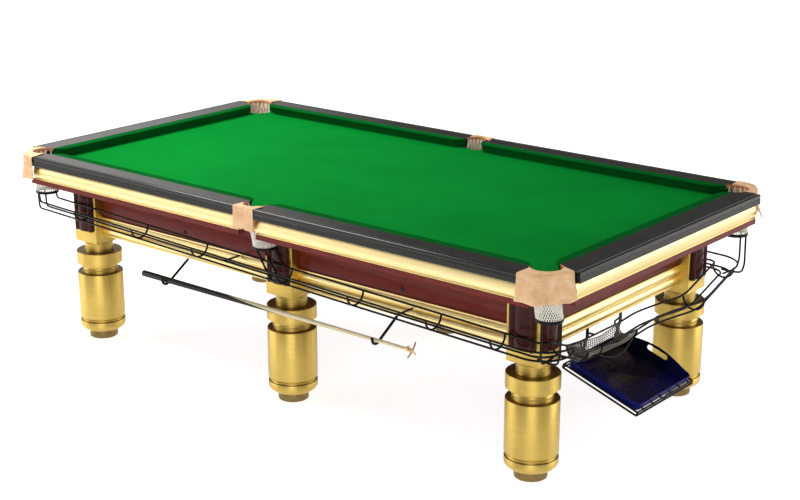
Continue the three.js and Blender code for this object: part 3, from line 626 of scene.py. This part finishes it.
# ---- Pocket leathers
def leather_rows(rims, folds, hems, lining_bottom):
    """Rows of points from the lining up over the rim, across the top, over the fold and down to the hem."""
    rim_radius, fold_radius = 0.0045, 0.006
    rows = []
    for t in shares(40):
        rim, fold, hem = rims(t), folds(t), hems(t)
        width = max((fold - rim).length, 1e-6)
        out = (fold - rim) / width
        ripple = 0.0022 * sin(9.5 * pi * t + 0.6)
        row = [(rim.x, rim.y, lining_bottom), (rim.x, rim.y, FOLD_Z)]
        for a in map(radians, (150, 120, 90)):
            p = rim + out * rim_radius * (1 + cos(a))
            row.append((p.x, p.y, LEATHER_TOP - rim_radius * (1 - sin(a))))
        for share in (0.3, 0.6, 0.82):
            p = rim + out * max(width * share, fold_radius)
            row.append((p.x, p.y, LEATHER_TOP - 0.0006 - 0.0022 * share))
        for a in map(radians, (70, 45, 20)):
            p = fold + out * fold_radius * (cos(a) - 1)
            row.append((p.x, p.y, LEATHER_TOP - 0.0085 + fold_radius * sin(a)))
        for share in (0.12, 0.3, 0.5, 0.7, 0.85, 1.0):
            p = fold.lerp(hem, share ** 1.6) - out * 0.0016 * sin(pi * share)
            row.append((p.x, p.y, FOLD_Z + (hem.z + ripple * share ** 2 - FOLD_Z) * share))
        rows.append(row)
    return rows


def corner_curves(flare):
    """The rim, fold and hem of a corner leather. flare is how far its flap on the table's end stands out."""
    rim_start, rim_end = -36, 131
    fold_points = [(1.395, 0.6370, 0), (1.3765, 0.6863, 0), (1.3530, 0.7260, 0), (1.3200, 0.7585, 0),
                   (1.252, 0.7705, 0)]
    hem_points = [(1.4065 + flare, 0.6365, 0.7455), (1.3840 + flare * 0.6, 0.6915, 0.7440),
                  (1.3610 + flare * 0.2, 0.7285, 0.7465), (1.3270, 0.7660, 0.7440), (1.2440, 0.7725, 0.7480)]

    def rim(t):
        angle = radians(rim_start + (rim_end - rim_start) * t)
        return Vector((CORNER_POCKET.x + CORNER_BORE * cos(angle),
                       CORNER_POCKET.y + CORNER_BORE * sin(angle), 0))

    return rim, lambda t: spline_at(fold_points, t), lambda t: spline_at(hem_points, t)


def side_curves():
    """The middle leather laps a little over the rail on each side, with a longer ear towards the foot end."""
    def rim(t):
        angle = radians(12 + 156 * t)
        ear = 0.020 * max(0.0, 1 - t / 0.12)
        return Vector((SIDE_BORE * cos(angle) + ear, SIDE_POCKET_Y + SIDE_BORE * sin(angle), 0))

    def fold(t):
        return Vector((0.050 - 0.105 * t, RAIL_FACE_Y + 0.0028, 0))

    def hem(t):
        return Vector((0.048 - 0.1055 * t + 0.002 * sin(5 * t), RAIL_FACE_Y + 0.0032,
                       0.757 - 0.004 * cos(7 * t)))

    return rim, fold, hem


def make_leather(node, curves, e, s, lining_bottom):
    bm = bmesh.new()
    grid(bm, leather_rows(*curves, lining_bottom))
    bmesh.ops.recalc_face_normals(bm, faces=bm.faces)
    if sum(face.normal.z for face in bm.faces) < 0:
        bmesh.ops.reverse_faces(bm, faces=bm.faces)
    piece = finish(f"fine_{node}", place(bm, e, s), LEATHER, "tan_leather", [node])
    solid = piece.modifiers.new("thickness", "SOLIDIFY")
    solid.thickness = 0.0026
    solid.offset = -1
    smooth = piece.modifiers.new("round", "SUBSURF")
    smooth.levels = 1
    smooth.render_levels = 1


def make_lining(name, centre, radius, covered, e, s):
    """The strip that lines the pocket's mouth between the rail and the cushion tips. Its leather is darker and redder
    than the skirt's: painted shade.
    """
    section = ((0, 0.8310), (0, 0.8425), (0.0012, 0.8445), (0.0036, 0.8450), (0.0048, 0.8430), (0.0048, 0.8310))
    rows = []
    for x, y in arc(centre, radius, *covered, 48):
        out = (Vector((x, y)) - Vector(centre)).normalized()
        rows.append([(x + out.x * o, y + out.y * o, z) for o, z in section])
    finish(name, place(shell(rows), e, s), LINING, "tan_leather")


def stitches(name, curves, e, s):
    """A row of short stitches round the skirt, a little below the fold."""
    _, fold, hem = curves
    height, count = 0.822, 34
    share = ((FOLD_Z - height) / (FOLD_Z - LEATHER_BOTTOM)) ** 1.6
    paths = []
    for i in range(count):
        path = []
        for step, proud in ((0.15, -0.0002), (0.5, 0.0009), (0.85, -0.0002)):
            t = 0.03 + 0.94 * (i + step) / count
            on = min(t + 0.01, 1)
            here, ahead = fold(t).lerp(hem(t), share), fold(on).lerp(hem(on), share)
            along = Vector((ahead.x - here.x, ahead.y - here.y)).normalized()
            path.append((e * (here.x - along.y * proud), s * (here.y + along.x * proud), height))
        paths.append(path)
    wires(name, paths, 0.0010, THREAD, roundness=1)


def make_leathers():
    middle = side_curves()
    corner_tuck, middle_tuck = 0.800, 0.745  # how far down the leather goes inside the pocket
    for side, s in SIDES:
        for end, e in ENDS:
            corner = corner_curves(FLARES[side, end])
            make_leather(f"leather_{side}_{end}", corner, e, s, corner_tuck)
            make_lining(f"lining_{side}_{end}", tuple(CORNER_POCKET), CORNER_BORE, CORNER_LINING, e, s)
            stitches(f"stitches_{side}_{end}", corner, e, s)
        make_leather(f"leather_{side}_middle", middle, 1, s, middle_tuck)
        make_lining(f"lining_{side}_middle", (0, SIDE_POCKET_Y), SIDE_BORE, SIDE_LINING, 1, s)


# ---- Nets
def lace_top(angle, e, s):
    """Laces hang from the pocket's lining where there is one, and from under the cloth's edge elsewhere."""
    around = degrees(atan2(s * sin(angle), (e or 1) * cos(angle)))
    start, end = CORNER_LINING if e else SIDE_LINING
    covered = start < around < end or start < around + 360 < end
    inside_lining, under_cloth = 0.836, BED_TOP - 0.012
    return inside_lining if covered else under_cloth


def make_nets():
    """A woven sleeve from each leather down to its ring, laced to the pocket's lining by open loops."""
    strands, steps, twist, laces = 34, 8, 1.1, 15
    sleeve_top, sleeve_bottom = 0.770, RING_TOP - 0.004
    for side, s, post, e in POSTS:
        bore = Vector((e * CORNER_POCKET.x, s * (CORNER_POCKET.y if e else SIDE_POCKET_Y)))
        top = Vector((bore.x, bore.y if e else s * (SIDE_POCKET_Y - 0.016)))
        low = Vector((e * CORNER_RING_X, s * RETURN_Y))
        wide = (CORNER_BORE if e else SIDE_BORE) - 0.0035
        sleeve, lace = [], []
        for way in (-1, 1):
            for k in range(strands):
                path = []
                for i in range(steps + 1):
                    t = i / steps
                    angle = 2 * pi * k / strands + way * twist * t
                    radius = wide + (RETURN_RADIUS + 0.001 - wide) * t - 0.003 * sin(pi * t)
                    radius += 0.0008 * way * cos(pi * (i + k))
                    middle = top.lerp(low, t)
                    path.append((middle.x + radius * cos(angle), middle.y + radius * sin(angle),
                                 sleeve_top + (sleeve_bottom - sleeve_top) * t))
                sleeve.append(path)
            radius = wide + 0.001 * way
            for k in range(laces):
                start = lace_top(2 * pi * k / laces, e, s)
                path = []
                for t in shares(4):
                    angle = 2 * pi * (k + 0.5 * way * t) / laces
                    middle = bore.lerp(top, t)
                    path.append((middle.x + radius * cos(angle), middle.y + radius * sin(angle),
                                 start + (sleeve_top - start) * t))
                lace.append(path)
        wires(f"net_{side}_{post}", sleeve, 0.0014, NET, roundness=1)
        wires(f"net_lace_{side}_{post}", lace, 0.0021, NET, roundness=1)


def trough(t, u):
    """A point on the collector's net lining: t along it from the near end, u across it from inner to outer."""
    x, y, low = spline_at([(1.283, -0.430, 0.446), (1.258, -0.370, 0.425), (1.245, -0.290, 0.410),
                           (1.245, -0.160, 0.398), (1.245, -0.030, 0.407)], t)
    angle = radians(-180 + 180 * u)
    reach = RETURN_RADIUS - 0.004 + 0.002 * sin(23 * t + 9 * u)
    return (x + reach * cos(angle), y,
            low + 0.040 + (reach - 0.004) * sin(angle) * 0.92 + 0.004 * (1 - u))


def make_collector_net():
    """Crossing cords that line the collector, with a gap along the bottom for the balls to fall through."""
    count, steps, lean = 46, 16, 8
    paths = []
    for way in (-1, 1):
        for k in range(-lean, count + lean):
            path = []
            for i in range(steps + 1):
                u = i / steps
                t = (k + way * lean * (u - 0.5)) / count
                inside = 0 <= t <= 1 and not (0.58 < t < 0.86 and 0.30 < u < 0.70)
                if inside:
                    path.append(trough(t, u))
                if (not inside or i == steps) and path:
                    if len(path) > 1:
                        paths.append(path)
                    path = []
    for u in (0.0, 1.0):
        paths.append([trough(t, u) for t in shares(30)])
    wires("collector_net", paths, 0.0013, GREY_NET, roundness=1)


# ---- Legs, feet, pilasters, bolts
# (radius, height) up a leg: a foot with a bead round it, two broad rings, and the neck under the block.
LEG_PROFILE = (
    (0.013, 0.0363), (0.064, 0.0363), (0.080, 0.040), (0.0925, 0.050), (0.0978, 0.058), (0.0985, 0.064),
    (0.0985, 0.0805), (0.0975, 0.083), (0.0925, 0.0845), (0.0915, 0.0868), (0.0925, 0.0885),
    (0.0950, 0.0905), (0.0950, 0.0930), (0.0925, 0.0948), (0.0915, 0.0962), (0.0925, 0.0985),
    (0.0975, 0.1000), (0.0988, 0.1025), (0.0988, 0.3005), (0.0975, 0.3035), (0.0955, 0.3040),
    (0.0770, 0.3040), (0.0745, 0.3055), (0.0745, 0.3150), (0.0765, 0.3175), (0.0775, 0.3215),
    (0.0765, 0.3255), (0.0745, 0.3280), (0.0745, 0.3400), (0.0765, 0.3440), (0.0970, 0.3440),
    (0.0990, 0.3458), (0.0990, 0.3978), (0.0972, 0.4000), (0.0640, 0.4000), (0.0618, 0.4020),
    (0.0618, 0.4300), (0.0640, 0.4380), (0.0690, 0.4430), (0.0690, 0.4450), (0.0, 0.4450))


def rounded_box(x0, x1, y0, y1, radius, steps):
    """The outline of a rectangle with rounded corners, from its corner at x1, y0."""
    points = []
    for x, y, start in ((x1 - radius, y0 + radius, -90), (x1 - radius, y1 - radius, 0),
                        (x0 + radius, y1 - radius, 90), (x0 + radius, y0 + radius, 180)):
        points += arc((x, y), radius, start, start + 90, steps)
    return points


def leg_mesh():
    """A turned leg under a square block."""
    low, high, half = 0.4441, BOARD_BOTTOM - GAP, BLOCK_HALF
    levels = ((half - 0.0025, low), (half, low + 0.0025), (half, high - 0.001), (half - 0.001, high))
    return shell([[(x, y, z) for x, y in rounded_box(-size, size, -size, size, 0.003, 5)] for size, z in levels],
                 lathe(LEG_PROFILE, turns=96))


def paint_shade_on_ring_tops(leg):
    """Painted shade: the flat tops of the turned rings get a much darker gold than the polished sides, in place of
    the shade and dark reflection that they catch from under the table.
    """
    leg.data.materials.append(RING_TOP_SHADE_GOLD)
    for face in leg.data.polygons:
        if face.normal.z > 0.9 and 0.07 < face.center.z < 0.41:
            face.material_index = 1


def foot_mesh():
    """A dished steel pad on a threaded stud."""
    thread = [(0.0118 if i % 2 else 0.0105, 0.040 + 0.070 * i / 29) for i in range(30)]
    return lathe([(0.0, 0.0), (0.0575, 0.0), (0.0605, 0.0022), (0.061, 0.005), (0.061, 0.029), (0.0595, 0.0335),
                  (0.055, 0.0358), (0.020, 0.0360), (0.0118, 0.0375)] + thread + [(0.0, 0.110)])


def pilaster(face, centre, along_y):
    """A reeded block on a leg's outer face: a broad reed between two narrow ones, on a thin backing."""
    half, low, high, backing, chamfer = 0.054, 0.500, BOARD_BOTTOM - 0.0006, 0.0095, 0.0015
    section = [(-half, GAP), (-half, backing)]
    for start, end, height in ((-0.0525, -0.034, 0.006), (-0.031, 0.031, 0.0085), (0.034, 0.0525, 0.006)):
        for t in shares(10):
            section.append((start + (end - start) * t, backing + height * sin(pi * t) ** 0.7))
    section += [(half, backing), (half, GAP)]
    levels = ((low, chamfer), (low + chamfer, 0), (high - chamfer, 0), (high, chamfer))
    return shell([[point(centre + across * (1 - inset / half), face + max(out - inset, GAP), z, along_y)
                   for across, out in section] for z, inset in levels])


def make_legs():
    for side, s, post, e in POSTS:
        where = (e * LEG_X + MIDDLE_X, s * LEG_Y, 0)
        node = f"leg_{side}_{post}"
        paint_shade_on_ring_tops(finish(f"fine_{node}", shift(leg_mesh(), where), LEG_GOLD, "gold_leg", [node], angle=28))
        node = f"levelling_foot_{side}_{post}"
        finish(f"fine_{node}", shift(foot_mesh(), where), DARK_GOLD, "dark_gold", [node],
               body=f"foot_{side}_{post}")
        bm = place(pilaster(LEG_Y + BLOCK_HALF, abs(e) * LEG_X, False), e or 1, s)
        finish(f"pilaster_{side}_{post}", bm, DARK_BURGUNDY, "burgundy_lacquer")
        if e:
            bm = place(pilaster(LEG_X + BLOCK_HALF, LEG_Y, True), e, s)
            finish(f"pilaster_end_{side}_{post}", bm, DARK_BURGUNDY, "burgundy_lacquer")


def make_bolts():
    """A domed head with a round socket, half way along each side panel."""
    height = 0.585
    for side, s, end, e in QUARTERS:
        bm = lathe([(0.0, 0.0), (0.0085, 0.0), (0.0085, 0.0022), (0.0070, 0.0042), (0.0045, 0.0050),
                    (0.0034, 0.0050), (0.0032, 0.0022), (0.0, 0.0022)], turns=24)
        bmesh.ops.rotate(bm, matrix=Matrix.Rotation(-pi / 2, 3, "X"), verts=bm.verts)
        shift(bm, (0.5 * LEG_X, APRON_FACE_Y, height))
        finish(f"bolt_{side}_{end}", place(bm, e, s), BOLT, "black_wire")


# ---- Ball returns
RETURN_CORNER_X = 1.225
# From its corner each channel drops to the collector: (x, y, lowest line), and whether a hoop stands there.
NEAR_RUN = ((1.303, -0.480, 0.466, False), (1.283, -0.430, 0.446, True), (1.258, -0.370, 0.425, False),
            (1.245, -0.290, 0.410, False))
FAR_RUN = ((1.305, 0.350, 0.428, True), (1.265, 0.215, 0.421, False), (1.240, 0.100, 0.414, False),
           (1.245, -0.030, 0.407, False))


def channel_low(x):
    """The channel's lowest line falls evenly from the head pocket to the last corner."""
    start = -CORNER_RING_X - RETURN_RADIUS
    return RETURN_HIGH + (RETURN_LOW - RETURN_HIGH) * (x - start) / (RETURN_CORNER_X - start)


def hoop_path(x, y, low, along_x):
    """A half hoop that a ball rests in, across a channel that runs along X or along Y."""
    return [(x + u, y, z) if along_x else (x, y + u, z)
            for u, z in arc((0, low + RETURN_RADIUS), RETURN_RADIUS, -180, 0, 14)]


def return_paths(s, run):
    """A channel's four long wires and its hoops."""
    rise_low = 0.004
    corner_radius = CORNER_RING_X - RETURN_CORNER_X
    corner_y = s * (RETURN_Y - corner_radius)
    straight_end = RETURN_CORNER_X - 0.02
    paths = []
    for across, rise in ((-RETURN_RADIUS, RETURN_RADIUS), (-RAIL_WIRE_Y, rise_low), (RAIL_WIRE_Y, rise_low),
                         (RETURN_RADIUS, RETURN_RADIUS)):
        y = s * (RETURN_Y + across)
        begin = -CORNER_RING_X if rise > rise_low else -CORNER_RING_X - RETURN_RADIUS + 0.004
        path = bent([(begin, y, RING_WELD), (begin + 0.006, y, channel_low(begin) + rise),
                     (straight_end, y, channel_low(straight_end) + rise)], 0.014)
        path += [(x, bend_y, RETURN_LOW + rise)
                 for x, bend_y in arc((RETURN_CORNER_X, corner_y), corner_radius + across, 90 * s, 0, 12)]
        descent = bent([path[-1]] + [(x + across, y, low + rise) for x, y, low, _ in run], 0.05, 8)
        paths.append(path + descent[1:])
    for x in (-1.08, -0.72, -0.367, 0.095, 0.455, 0.82, 1.10):
        paths.append(hoop_path(x, s * RETURN_Y, channel_low(x), False))
    paths.append(hoop_path(CORNER_RING_X, corner_y, RETURN_LOW, True))
    paths += [hoop_path(x, y, low, True) for x, y, low, hooped in run if hooped]
    return paths


def guide_paths(s):
    """Wires from the middle and last rings into the channel, and stays to the moulding."""
    y, join, ring = s * RETURN_Y, 0.048, CORNER_RING_X
    low = channel_low(join)
    paths = []
    for across in (-RAIL_WIRE_Y, RAIL_WIRE_Y):
        paths.append(bent([(-RETURN_RADIUS + 0.004, y + across, RING_WELD), (join, y + across, low + 0.004)]))
    for across in (-RETURN_RADIUS, RETURN_RADIUS):
        paths.append(bent([(0, y + across, RING_WELD), (join, y + across, low + RETURN_RADIUS)]))
    out, low, outer_y = ring + RETURN_RADIUS, RETURN_LOW - 0.004, s * (RETURN_Y + RETURN_RADIUS)
    paths.append(bent([(out, y, RING_WELD), (out + 0.002, y, low + 0.045), (out - 0.008, y, low + 0.012),
                       (out - 0.030, y, low + 0.006), (1.262, s * 0.644, RETURN_LOW + 0.004)], 0.02))
    paths.append(bent([(ring, outer_y, RING_WELD), (ring, outer_y + s * 0.002, low + 0.045),
                       (ring - 0.004, outer_y - s * 0.012, low + 0.012),
                       (ring - 0.010, outer_y - s * 0.050, low + 0.008),
                       (ring - 0.016, s * 0.598, RETURN_LOW + 0.004)], 0.02))
    for x in (-0.25, 0.64):
        z = channel_low(x) + 0.004
        paths.append([(x, y - s * RAIL_WIRE_Y, z), (x, s * (APRON_FACE_Y + 0.014), z)])
    return paths


def make_returns():
    inner, outer, chamfer = RETURN_RADIUS - 0.0035, RETURN_RADIUS + 0.004, 0.001
    ring = [(inner, RING_BOTTOM), (outer - chamfer, RING_BOTTOM), (outer, RING_BOTTOM + 0.002),
            (outer, RING_TOP - 0.002), (outer - chamfer, RING_TOP), (inner, RING_TOP)]
    for (side, s), run in zip(SIDES, (NEAR_RUN, FAR_RUN)):
        wires(f"fine_ball_return_{side}", return_paths(s, run) + guide_paths(s), 0.0040, WIRE,
              [f"ball_return_{side}"])
    for side, s, post, e in POSTS:
        bm = lathe(ring, 48, (e * CORNER_RING_X + MIDDLE_X, s * RETURN_Y), closed=True)
        finish(f"net_ring_{side}_{post}", bm, WIRE, "black_wire", edge=0.0005)


# ---- Rack, collector and tray
def on_rack(x, y, z):
    """A point in the rack's own frame: x down the slope, y along the table's end, z off the slope."""
    return Vector((RACK_INNER_X + x * cos(TILT) + z * sin(TILT), y,
                   RACK_INNER_Z - x * sin(TILT) + z * cos(TILT)))


def rack_paths():
    """Two frames, one over the other, with posts between them and bars under the tray."""
    y0, y1 = RACK_Y
    middle = (y0 + y1) / 2
    paths = []
    for z in (0, RACK_HEIGHT):
        corners = [(0, middle), (0, y1), (RACK_DEPTH, y1), (RACK_DEPTH, y0), (0, y0), (0, middle)]
        paths.append(bent([on_rack(x, y, z) for x, y in corners], 0.006))
    for x in (0, RACK_DEPTH):
        for y in (y0, middle, y1):
            paths.append([on_rack(x, y, 0), on_rack(x, y, RACK_HEIGHT)])
    for i in range(1, 6):
        y = y0 + (y1 - y0) * i / 6
        paths.append([on_rack(0, y, 0), on_rack(RACK_DEPTH, y, 0)])
    return paths


def collector_paths(strap_z, low_strap_y, high_strap_y):
    """The collector's hoops and wires, and the arms that hold it to the two straps."""
    middle, side = COLLECTOR_X, RETURN_RADIUS
    near, far, near_low, far_low, sag = -0.280, -0.040, 0.409, 0.408, 0.022
    paths = [hoop_path(middle, near, near_low, True), hoop_path(middle, far, far_low, True)]
    for across in (-side, side):
        paths.append([(middle + across, near, near_low + side), (middle + across, far, far_low + side)])
    for way in (-1, 1):
        inner, wide = middle + 0.027 * way, middle + 0.027 * way + 0.014 * way
        paths.append(bent([(inner, near, near_low + 0.009), (wide, -0.200, near_low - sag),
                           (wide, -0.120, near_low - sag), (inner, far, far_low + 0.009)], 0.03))
    paths.append([(1.167, low_strap_y, strap_z), (middle - side, low_strap_y, strap_z)])
    paths.append(bent([(1.167, high_strap_y, strap_z), (1.179, -0.020, strap_z),
                       (middle - side, far - 0.004, strap_z)]))
    return paths


def make_rack():
    straps = (("low", -0.184), ("high", 0.044))
    paths = rack_paths() + collector_paths(0.452, *(y for _, y in straps))
    wires("fine_tray_rack", paths, 0.0038, WIRE, ["tray_rack"])
    section = [(1.164, 0.437), (1.164, 0.4797), (1.169, 0.4797), (1.169, 0.437), (1.147, 0.349), (1.138, 0.345)]
    for name, y in straps:
        bm = bar(section, y - 0.008, y + 0.008, along_y=True)
        finish(f"rack_strap_{name}", place(bm), WIRE, "black_wire", edge=0.0008)


def make_tray():
    """The moulded tub: rounded floor edges, a rolled rim, and a raised grip with a hand hole at one end."""
    inset, wall, height, arch_height, radius, base = 0.0078, 0.003, 0.034, 0.024, 0.024, 0.0053
    x0, x1, y0, y1 = inset, RACK_DEPTH - inset, RACK_Y[0] + inset, RACK_Y[1] - inset
    rim, middle, reach = base + height, RACK_DEPTH / 2, (RACK_DEPTH - 2 * inset) / 2 - radius

    def rim_height(x, y):
        """The rim rises in a smooth arch along the far wall."""
        if y < y1 - 0.004:
            return 0.0
        t = min(abs(x - middle) / reach, 1.0)
        return arch_height * (1 - t * t) ** 1.3

    levels = ((0.012, base), (0.005, base + 0.0012), (0.0012, base + 0.005), (0.0, base + 0.011),
              (0.0, rim - 0.004), (-0.0012, rim - 0.001), (0.0, rim), (0.0018, rim), (wall, rim - 0.002),
              (wall, base + 0.014), (wall + 0.0015, base + 0.008), (wall + 0.006, base + 0.0045),
              (wall + 0.014, base + wall))
    rows = []
    for inward, z in levels:
        outline = rounded_box(x0 + inward, x1 - inward, y0 + inward, y1 - inward, max(radius - inward, 0.006), 8)
        is_rim = z >= rim - 0.005
        row = []
        for (ax, ay), (bx, by) in zip(outline, outline[1:] + outline[:1]):
            count = 24 if abs(ax - bx) > 0.1 or abs(ay - by) > 0.1 else 1
            for k in range(count):
                x, y = ax + (bx - ax) * k / count, ay + (by - ay) * k / count
                row.append(on_rack(x, y, z + (rim_height(x, y + inward) if is_rim else 0.0)))
        rows.append(row)
    tray = finish("fine_ball_tray", place(shell(rows)), NAVY, "blue_plastic", ["ball_tray"], body="tray", angle=40)
    cut_hand_hole(tray, middle, y1, rim + 0.003)


def cut_hand_hole(tray, middle, wall_y, z):
    """Cuts the oval hand hole through the raised wall."""
    reach, tall = 0.035, 0.011
    loop = arc((middle - reach, z), tall, 90, 270, 12) + arc((middle + reach, z), tall, -90, 90, 12)
    bm = place(shell([[on_rack(x, wall_y + off, z) for x, z in loop] for off in (-0.012, 0.012)]))
    cutter = bpy.data.objects.new("hand_hole_cutter", mesh_of("hand_hole_cutter", bm))
    bpy.context.scene.collection.objects.link(cutter)
    modifier = tray.modifiers.new("hand_hole", "BOOLEAN")
    modifier.operation = "DIFFERENCE"
    modifier.object = cutter
    with bpy.context.temp_override(object=tray, active_object=tray, selected_objects=[tray]):
        bpy.ops.object.modifier_apply(modifier="hand_hole")
    bpy.data.objects.remove(cutter)


# ---- Rest and hanger
def rest_part(name, profile, material, replaced=()):
    """A round part of the rest, with a profile of (radius, x) along it."""
    bm = lathe(profile, turns=32)
    bmesh.ops.transform(bm, matrix=Matrix.Rotation(pi / 2, 4, "Y"), verts=bm.verts)
    finish(name, shift(bm, (MIDDLE_X, REST_Y, REST_Z)), material, "rest_wood", replaced, body="rest_stick")


def make_rest():
    x0, x1 = REST_BUTT_X, REST_TIP_X
    taper = [(BUTT_RADIUS + (TIP_RADIUS - BUTT_RADIUS) * i / 8, x0 + (x1 - x0) * i / 8) for i in range(1, 9)]
    butt = offsets(BUTT_RADIUS, x0, (-0.003, 0), (-0.0008, 0.002), (0, 0.006))
    rest_part("fine_rest_stick", [(0.0, x0)] + butt + taper + [(0.0, x1)], REST_WOOD, ["rest"])
    rest_part("rest_ferrule", offsets(0, x1, (0.0, -0.016), (0.0072, -0.016), (0.0078, -0.014), (0.0078, 0.004),
                                      (0.0068, 0.006), (0.0068, 0.013), (0.0050, 0.0148), (0.0, 0.0148)), BRASS)
    arms = []
    for dy, dz in arc((0, 0), 0.0335, 45, 135, 1):
        arms.append([(x1 + 0.011 - 0.004 * (k / 6) ** 2, REST_Y + dy * k / 6, REST_Z + dz * k / 6)
                     for k in range(-6, 7)])
    wires("rest_head", arms, 0.0032, BRASS, body="rest_stick")


def make_hanger():
    """Two hooked arms that hang from a bar under the cabinet board."""
    hook_radius, wire, rise, hanger_y, stick_length = 0.017, 0.0055, radians(33), -0.423, 1.430
    top = BOARD_BOTTOM - GAP
    low = top - 0.008
    heel = degrees(rise) - 90
    paths = []
    for x in (-0.590, 0.540):
        rest_radius = BUTT_RADIUS + (TIP_RADIUS - BUTT_RADIUS) * (x - REST_BUTT_X) / stick_length
        centre = REST_Z - rest_radius - GAP + hook_radius
        hook = [(x, y, z) for y, z in arc((REST_Y, centre), hook_radius + wire + GAP, heel - 144, heel, 16)]
        knee = hook[-1][2] + (hanger_y - hook[-1][1]) * tan(rise)
        paths.append(hook + bent([hook[-1], (x, hanger_y, knee), (x, hanger_y, top - 0.004)], 0.02)[1:])
    wires("fine_rest_hanger", paths, wire, WIRE, ["rest_hanger"])
    section = [(hanger_y + across, z) for across, z in ((-0.015, low), (0.015, low), (0.015, top), (-0.015, top))]
    finish("hanger_bar", place(bar(section, -0.610, 0.560)), WIRE, "black_wire", edge=0.001)


# ---- CAD nodes that stay
def dress_frame_nodes():
    """Gives each CAD node that is still seen its material, and rounds its edges."""
    looks = {"apron": (BURGUNDY, 0.0012), "slate": (SLATE, 0.0010), "cabinet": (BURGUNDY, 0.0020),
             "bearer": (TIMBER, 0.0015)}
    for name, node in nodes.items():
        look = looks.get(name.split("_")[0])
        if look:
            material, edge = look
            node.data.materials.clear()
            node.data.materials.append(material)
            soften(node, edge)


# ---- Floor, light and camera
def make_floor():
    shader = Shader("pale_floor")
    tone = shader.noise(0.7, detail=2)
    pale = shader.mix(shader.spread(tone, 0.0, 1.0), (0.70, 0.70, 0.70), (0.72, 0.72, 0.72))
    material = shader.surface(pale, 0.9, Specular_IOR_Level=0.05,
                              Emission_Color=(1, 1, 1, 1), Emission_Strength=0.78)
    mesh = bpy.data.meshes.new("floor")
    size = 60
    mesh.from_pydata([(-size, -size, 0), (size, -size, 0), (size, size, 0), (-size, size, 0)], [], [(0, 1, 2, 3)])
    mesh.materials.append(material)
    floor = bpy.data.objects.new("floor", mesh)
    floor.location.z = -0.0005
    bpy.context.scene.collection.objects.link(floor)


def make_world():
    """A dim studio with bright sides and a soft top, which gives the turned metal its bands. Behind the floor's
    far edge the backdrop is as pale as the floor."""
    world = bpy.data.worlds.new("studio")
    bpy.context.scene.world = world
    world.use_nodes = True
    tree = world.node_tree
    direction = add_node(tree, "TexCoord", "Generated", {})
    # (azimuth, elevation, strength, cosine at its edge) of each soft light.
    lobes = ((-150, 8, 3.0, 0.86), (-54, 8, 2.6, 0.90), (45, 8, 4.0, 0.84), (150, 12, 1.0, 0.93),
             (100, 80, 0.5, 0.2))
    total = 0.042  # the light between them
    for azimuth, elevation, strength, edge in lobes:
        a, b = radians(azimuth), radians(elevation)
        centre = (cos(a) * cos(b), sin(a) * cos(b), sin(b))
        dot = add_node(tree, "VectorMath", "Value", {0: direction, 1: centre}, operation="DOT_PRODUCT")
        lobe = add_node(tree, "MapRange", "Result", {"Value": dot, "From Min": edge, "To Max": strength},
                        interpolation_type="SMOOTHSTEP")
        total = add_node(tree, "Math", "Value", {0: lobe, 1: total}, operation="ADD")
    camera_ray = add_node(tree, "LightPath", "Is Camera Ray", {})
    backdrop = add_node(tree, "Math", "Value", {0: total, 1: camera_ray}, operation="MAXIMUM")
    background = tree.nodes["Background"].inputs
    feed(tree, background["Strength"], backdrop)
    feed(tree, background["Color"], (1.0, 0.99, 0.97, 1))


def area_light(name, location, target, size, power):
    light = bpy.data.lights.new(name, "AREA")
    light.shape = "RECTANGLE"
    light.size, light.size_y = size
    light.energy = power
    lamp = bpy.data.objects.new(name, light)
    lamp.location = location
    lamp.rotation_euler = (Vector(target) - Vector(location)).to_track_quat("-Z", "Y").to_euler()
    bpy.context.scene.collection.objects.link(lamp)


def make_lights():
    area_light("key", (-1.8, -0.5, 3.1), (-0.6, -0.2, 0.8), (2.8, 1.6), 132)
    area_light("fill", (3.5, -5.0, 2.2), (0.2, -0.4, 0.5), (3.0, 2.0), 30)


def make_camera():
    azimuth, elevation = radians(39.30), radians(17.09)
    data = bpy.data.cameras.new("camera")
    data.lens = 70.39
    data.sensor_width = 36.0
    data.clip_end = 200
    camera = bpy.data.objects.new("camera", data)
    camera.location = (4.033 + MIDDLE_X, -4.764, 2.415)
    look = Vector((-sin(azimuth) * cos(elevation), cos(azimuth) * cos(elevation),
                   -sin(elevation)))
    camera.rotation_euler = look.to_track_quat("-Z", "Y").to_euler()
    bpy.context.scene.collection.objects.link(camera)
    bpy.context.scene.camera = camera


make_camera()
make_rails()
make_cushions()
make_cloth()
make_leathers()
make_nets()
make_legs()
make_bolts()
make_returns()
make_rack()
make_collector_net()
make_tray()
make_rest()
make_hanger()
dress_frame_nodes()
make_floor()
make_world()
make_lights()
bpy.context.scene.view_settings.view_transform = "Standard"
